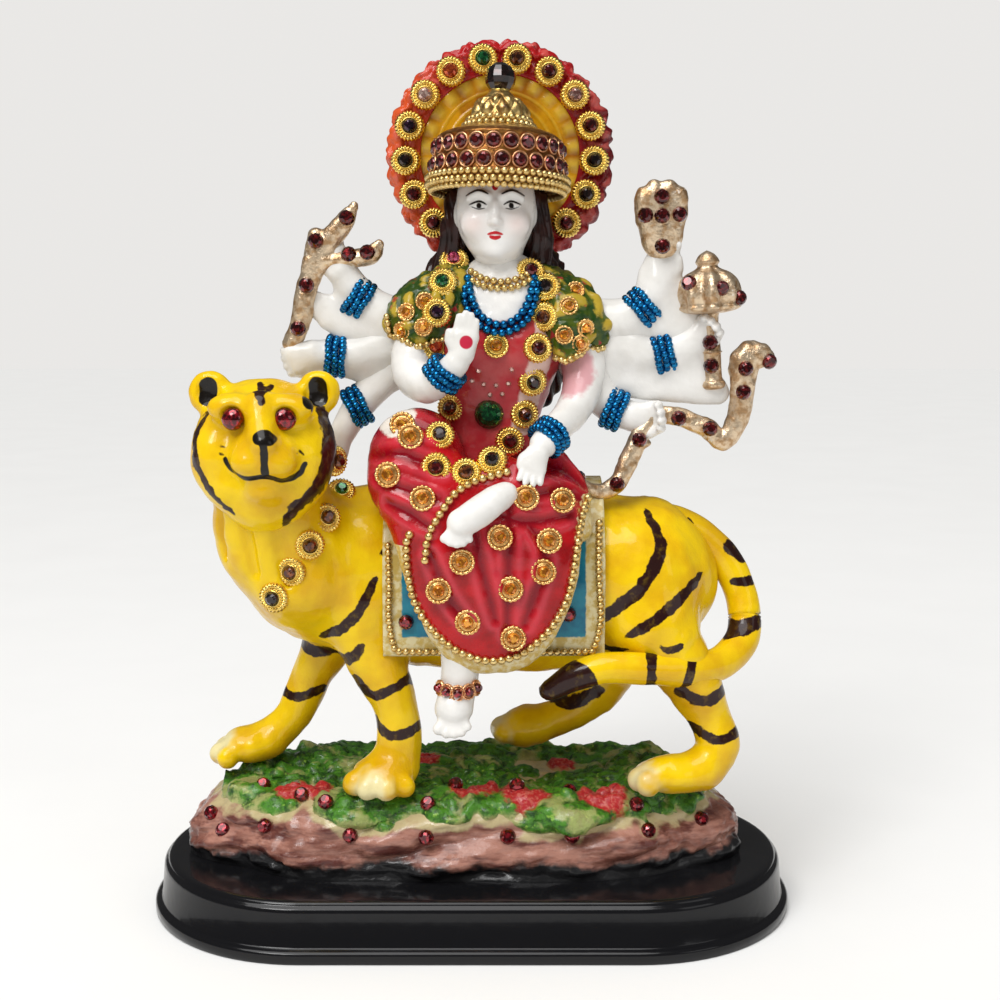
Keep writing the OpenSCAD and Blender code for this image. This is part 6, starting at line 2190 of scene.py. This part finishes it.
@dataclass
class Jewellery:
    """Choker, blue necklace, garlands, pendant and the green stone at the waist."""

    finishes: Palette
    garland: tuple = ((-3.6, -10, 155.6), (-6.1, -12, 150.6), (-7.5, -13, 143.8), (-7.9, -15, 136.5),
        (-4.0, -18, 122.6), (-6.6, -22, 116.6), (-7.3, -26, 109.9), (-0.6, -28, 108.9), (5.2, -26, 111.4),
        (9.0, -23, 115.4), (12.3, -18, 121.2), (14.2, -16, 128.4), (15.4, -14, 135.9), (17.0, -13, 142.9),
        (17.4, -12, 149.6), (15.4, -10, 155.6))
    tiger_row: tuple = ((-27, -18, 110), (-28.8, -22, 104), (-31.8, -26, 98.6), (-35.2, -29, 93),
        (-39, -31, 87.4), (-42.8, -32, 81.8))

    def build(self) -> None:
        """Makes all the necklaces and garlands."""
        self.seat = Seat("torso", (7.3, -2.4, 128.5))
        body, bust = Cover(*self.finishes.surfaces), Cover(self.finishes.bust)
        gold, blue = self.finishes.bead_gold, self.finishes.blue
        stones = [Stone.PINK, Stone.EMERALD, Stone.VIOLET, Stone.ORANGE] + [Stone.AMBER, Stone.BLACK,
            Stone.MAROON] * 5
        frames = body.lay(self.garland, 0.62, 0.15)
        blossoms("garland", frames, stones, 6.9, 3.3, self.finishes, "garland_flowers", "garland_gems",
            seat=self.seat)
        chest = Cover(self.finishes.casting)
        frames = chest.lay(self.tiger_row, 0.5, 0.2)
        kinds = [Stone.AMBER, Stone.EMERALD, Stone.AMBER, Stone.AMBER, Stone.AMBER, Stone.BLACK, Stone.AMBER]
        blossoms("tiger_garland", frames, kinds, 6.9, 3.3, self.finishes, "tiger_garland_flowers",
            "tiger_garland_gems", seat=self.seat)
        beads = []
        for line in ([(0.4, -6, 153.0), (3.2, -9, 151.4), (7.2, -10, 150.7), (11.2, -9, 151.4),
                (14.0, -6, 153.0)], [(-0.2, -6, 151.6), (2.8, -9, 149.9), (7.2, -10, 149.2),
                (11.6, -9, 149.9), (14.6, -6, 151.6)]):
            beads += strand(body.places(smooth(line, 8), 0.5), 1.7, 1.75)
        settle(bead().moved(beads).object("choker_bead_rows", gold), "gold_bead", "choker_beads",
            seat=self.seat)
        frames = []
        for line in ([(-0.2, -8, 151.4), (0.8, -10, 146.6), (3, -13, 142.6), (6.9, -14, 141),
                (10.8, -13, 142.6), (13.2, -10, 146.6), (14.5, -8, 151.4)],
                [(-0.8, -8, 150), (-0.6, -10, 145.6), (2, -13, 140.9), (6.9, -14, 139.2), (11.8, -13, 140.9),
                (14.4, -10, 145.6), (15.2, -8, 150)]):
            frames += strand(bust.places(smooth(line, 10), 0.7), 2.0, 1.9)
        settle(bead().moved(frames).object("blue_necklace_rows", blue), "blue_bead", "blue_necklace",
            seat=self.seat)
        pendant = body.lay([(6, -13, 136.4)], 0.7, 0.1)
        settle(medallion(5.8).moved(pendant).object("pendant_setting", self.finishes.gold), "gold_setting",
            "body_jewels", seat=self.seat)
        up = [pendant[0] @ aim((0, 0, 0.6), (0, 0, 1))]
        settle(CutStone(2.6, 0.5).shape().moved(up).object("pendant_stone", self.finishes.citrine, flat=True),
               "citrine_stone", seat=self.seat)
        belt = body.lay([(4.4, -14, 120.8)], 0.8, 0.0)
        settle(CutStone(6.8, 0.4, 16).shape().moved(belt).object("belt_emerald",
            self.finishes.gem(Stone.EMERALD), flat=True), "green_stone", "body_jewels", seat=self.seat)
        clear = body.lay([(x, -13, z) for x, z in ((0.5, 128.4), (3.2, 127.6), (6, 127.4), (8.8, 127.8),
            (2.0, 130.6), (9.6, 131), (4.6, 125.2), (7.4, 125.4))], 0.6)
        settle(CutStone(1.3, 0.5, 8).shape().moved(clear).object("blouse_sequins",
            self.finishes.gem(Stone.OPAL), flat=True), "garland_stone", seat=self.seat)


# ---------------------------------------------------------------- things held in the hands


@dataclass
class Held:
    """Trident, lotus, mace and bow in pale gold with red stones."""

    finishes: Palette
    stone: float = 3.7

    def cast(self, name: str, node: str, clay: Clay, ripple: float = 0.25) -> Shape:
        """Skins the clay of one thing, roughens it and makes its piece."""
        shape = clay.skin()
        shape.points += normals(shape) * (ripple * noise3(shape.points, 1.7, 71))[:, None]
        settle(shape.object(name, self.finishes.pale_gold), "gold_paint", node, seat=self.seat)
        return shape

    def trident(self) -> Shape:
        """Makes the trident with its curved shaft and three prongs."""
        clay = Clay(1.2, 0.36)
        clay.limb([(-41.9, -6, 136.6), (-39.6, -6, 141), (-37.7, -6, 150), (-33.6, -6.2, 158.6),
            (-28.6, -6.6, 165), (-26.6, -7, 168.2)], [2.0, 2.4, 2.5, 2.6, 2.2, 0.9], squash=(1, 0.8, 1))
        clay.limb([(-37.2, -6.2, 154.4), (-35.6, -6.2, 161.4)], [1.7, 1.9])
        clay.limb([(-33, -6.2, 155.4), (-27.6, -6.4, 156.2), (-23, -6.4, 157), (-21, -6.4, 159.4)],
            [1.9, 2.0, 2.1, 1.2])
        return self.cast("trident_cast", "trident", clay)

    def lotus(self) -> Shape:
        """Makes the lotus: petals round a raised middle, on a short stem."""
        clay = Clay(1.0, 0.36)
        c = np.array([44.0, -5.6, 165.2])
        clay.lump(c + (0, 0, 1.8), (6.2, 3.2, 6.4)).lump(c + (0.2, 0, -3.6), (4.9, 3.0, 5.6), melt=2)
        for x, z, lean in ((-3.8, 4.6, 22), (-1.6, 6.2, 8), (1.5, 6.2, -8), (3.9, 4.7, -22)):
            clay.lump(c + (x, -0.6, z), (2.1, 2.2, 2.8), (0, -lean, 0), melt=1.2)
            clay.limb([c + (x - 1.4, -3.6, z + 1.2), c + (x * 0.6 - 0.8, -3.8, z - 4)], [0.25, 0.4],
                cut=True, melt=0.7)
        for x in (-3, 0, 3.2):
            clay.limb([c + (x, -3.6, -1.6), c + (x * 0.5, -3.3, -7.6)], [0.45, 0.35], cut=True, melt=0.7)
        return self.cast("lotus_cast", "lotus", clay, 0.2)

    def mace(self) -> Shape:
        """Makes the mace with its ribbed head and knobbed grip."""
        profile = [(0.01, 126), (1.9, 126.1), (2.8, 126.9), (2.6, 127.9), (2.1, 128.8), (2.1, 134),
            (2.5, 134.8), (2.1, 135.6), (2.0, 143.2), (3.6, 143.7), (5.8, 144.2), (6.8, 145.0), (6.5, 146.0),
            (6.9, 147.4), (6.9, 149.2), (6.2, 151.2), (4.8, 152.8), (3.0, 153.8), (2.3, 154.6), (2.8, 155.6),
            (1.8, 157.2), (0.01, 158.2)]
        dense = smooth([(a, 0, b) for a, b in profile], 4)[:, [0, 2]]
        shape = lathe([(max(a, 0.01), b - 126) for a, b in dense], 96)
        p = shape.points
        angle = np.arctan2(p[:, 1], p[:, 0])
        head = np.clip((p[:, 2] - 17.4) / 1.5, 0, 1) * np.clip((29 - p[:, 2]) / 1.5, 0, 1)
        rib = 1 + head * 0.10 * np.cos(angle * 8) + 0.02 * noise3(p, 1.6, 72)
        shape.points = p * np.stack([rib, rib, np.ones(len(p))], axis=1)
        shape = shape.moved([aim((56.9, -6, 126), (-0.07, 0, 1))])
        settle(shape.object("mace_cast", self.finishes.pale_gold), "gold_paint", "mace", seat=self.seat)
        return shape

    def bow(self) -> Shape:
        """Makes the bow, bent like a wave."""
        clay = Clay(1.0, 0.36)
        clay.limb([(70.4, -6, 132.4), (67.4, -6, 134), (64.0, -6, 132.8), (63.6, -6, 126), (62.6, -6, 119),
            (59.4, -6, 114), (55.6, -6, 116.8), (48.6, -6, 119.6), (43.6, -6, 119.8), (39.6, -6.6, 115),
            (36.8, -7.4, 108.8), (34, -8.6, 103.8), (29.8, -10, 102.4), (24, -12, 105.5)],
            [1.0, 3.0, 3.6, 3.0, 2.6, 2.5, 2.3, 2.2, 2.1, 2.2, 2.2, 2.1, 1.8, 1.0], squash=(1, 0.85, 1))
        for x, y, z in ((63.6, -6, 125), (54, -6, 117.8), (39.8, -6.4, 113.4)):
            clay.lump((x, y, z), (2.7, 2.1, 1.2), melt=0.5)
        return self.cast("bow_cast", "bow", clay)

    def build(self) -> None:
        """Makes the four things and sets their stones."""
        self.seat = Seat("torso", (7.3, -2.4, 128.5))
        cover = Cover(self.trident(), self.lotus(), self.mace(), self.bow())
        spots = [(-28.2, -8, 165.4), (-35.4, -8, 160.2), (-27.9, -8, 157.2), (-23.6, -8, 157.6),
            (-37.7, -8, 150.1), (-39.8, -8, 140.2), (43.9, -8, 170.2), (40.2, -8, 166), (48.0, -8, 166.2),
            (43.9, -9, 165.8), (44.2, -8, 159.0), (50.0, -11, 150.6), (57.2, -13, 149.4), (61.6, -11, 147.2),
            (55.6, -8, 137.0), (55.9, -8, 131.6), (69.4, -8, 132.6), (63.8, -9, 131.0), (63.4, -9, 125.6),
            (56.0, -8, 117.0), (48.6, -8, 119.4), (39.5, -8, 114.4), (34.2, -10, 104.1), (25.0, -13, 106)]
        frames = cover.lay(spots, 0.6, 0.15)
        settle(CutStone(self.stone).shape().moved(frames).object("held_garnets", self.finishes.garnet,
            flat=True), "red_stone", "attribute_stones", seat=self.seat)


# ---------------------------------------------------------------- studio


@dataclass
class Studio:
    """Pale floor, soft lights and the camera."""

    tilt: float = 7.74
    lens: float = 51.31
    ambient: float = 0.42
    mirrored: float = 0.10
    seen: float = 0.82

    def build(self) -> None:
        """Sets the camera, the floor and the lights."""
        scene = bpy.context.scene
        camera = bpy.data.objects.new("camera", bpy.data.cameras.new("camera"))
        camera.data.lens = self.lens
        camera.data.sensor_width = 36.0
        camera.data.clip_start = 0.01
        camera.location = EYE * MM
        camera.rotation_euler = (math.radians(90 - self.tilt), 0, 0)
        scene.collection.objects.link(camera)
        scene.camera = camera
        self.floor()
        middle = Vector((0, 0, 0.1))
        for name, place, size, power in (("key", (-0.32, -0.5, 0.62), 0.24, 1.8),
                ("fill", (0.55, -0.45, 0.35), 0.3, 0.3)):
            light = bpy.data.objects.new(name, bpy.data.lights.new(name, "AREA"))
            light.data.size = size
            light.data.energy = power
            light.location = place
            light.rotation_euler = (middle - Vector(place)).to_track_quat("-Z", "Y").to_euler()
            scene.collection.objects.link(light)
        sun = bpy.data.objects.new("daylight", bpy.data.lights.new("daylight", "SUN"))
        sun.data.energy, sun.data.angle = 2.25, math.radians(50)
        sun.rotation_euler = (math.radians(22), math.radians(-12), 0)
        scene.collection.objects.link(sun)
        world = bpy.data.worlds.new("soft_room")
        world.use_nodes = True
        self.sky(world.node_tree)
        scene.world = world
        scene.view_settings.view_transform = "Standard"

    def sky(self, tree: bpy.types.NodeTree) -> None:
        """Makes the room bright to look at, soft as a light and dim in reflections."""
        nodes, links = tree.nodes, tree.links
        shade = nodes["Background"]
        path = nodes.new("ShaderNodeLightPath")
        mirror, view = nodes.new("ShaderNodeMath"), nodes.new("ShaderNodeMath")
        mirror.operation = view.operation = "MULTIPLY_ADD"
        shade.inputs[0].default_value = (1.0, 0.985, 0.965, 1.0)
        mirror.inputs[1].default_value = self.mirrored - self.ambient
        mirror.inputs[2].default_value = self.ambient
        view.inputs[1].default_value = self.seen - self.ambient
        links.new(path.outputs["Is Glossy Ray"], mirror.inputs[0])
        links.new(path.outputs["Is Camera Ray"], view.inputs[0])
        links.new(mirror.outputs[0], view.inputs[2])
        links.new(view.outputs[0], shade.inputs[1])

    def floor(self) -> None:
        """Makes the pale floor."""
        tree = Tree("pale_floor")
        material = tree.finish(base_color=tree.blend((0.86, 0.86, 0.85), (0.82, 0.82, 0.81),
            tree.noise(60.0)), roughness=0.7)
        side = 3000
        z = float(CAD_BOX[0][2]) / MM
        sheet = Shape(np.array([(-side, -side, z), (side, -side, z), (side, side, z), (-side, side, z)],
            float), [(0, 1, 2, 3)])
        sheet.object("floor", material)


def dress_rest(finishes: Palette) -> None:
    """Gives the CAD nodes that still show their finish."""
    for name, node in frame["nodes"].items():
        if not node.hide_render:
            node.data.materials.clear()
            node.data.materials.append(finishes.white)


def main() -> None:
    """Builds the idol from the plinth up."""
    logging.basicConfig(level=logging.INFO, format="%(name)s: %(message)s")
    finishes = Palette()
    Studio().build()
    for part in PARTS:
        part(finishes).build()
    dress_rest(finishes)


PARTS = (Plinth, Ground, Tiger, Dress, Figure, Crown, Halo, Held, Jewellery)

if __name__ == "__main__":
    main()
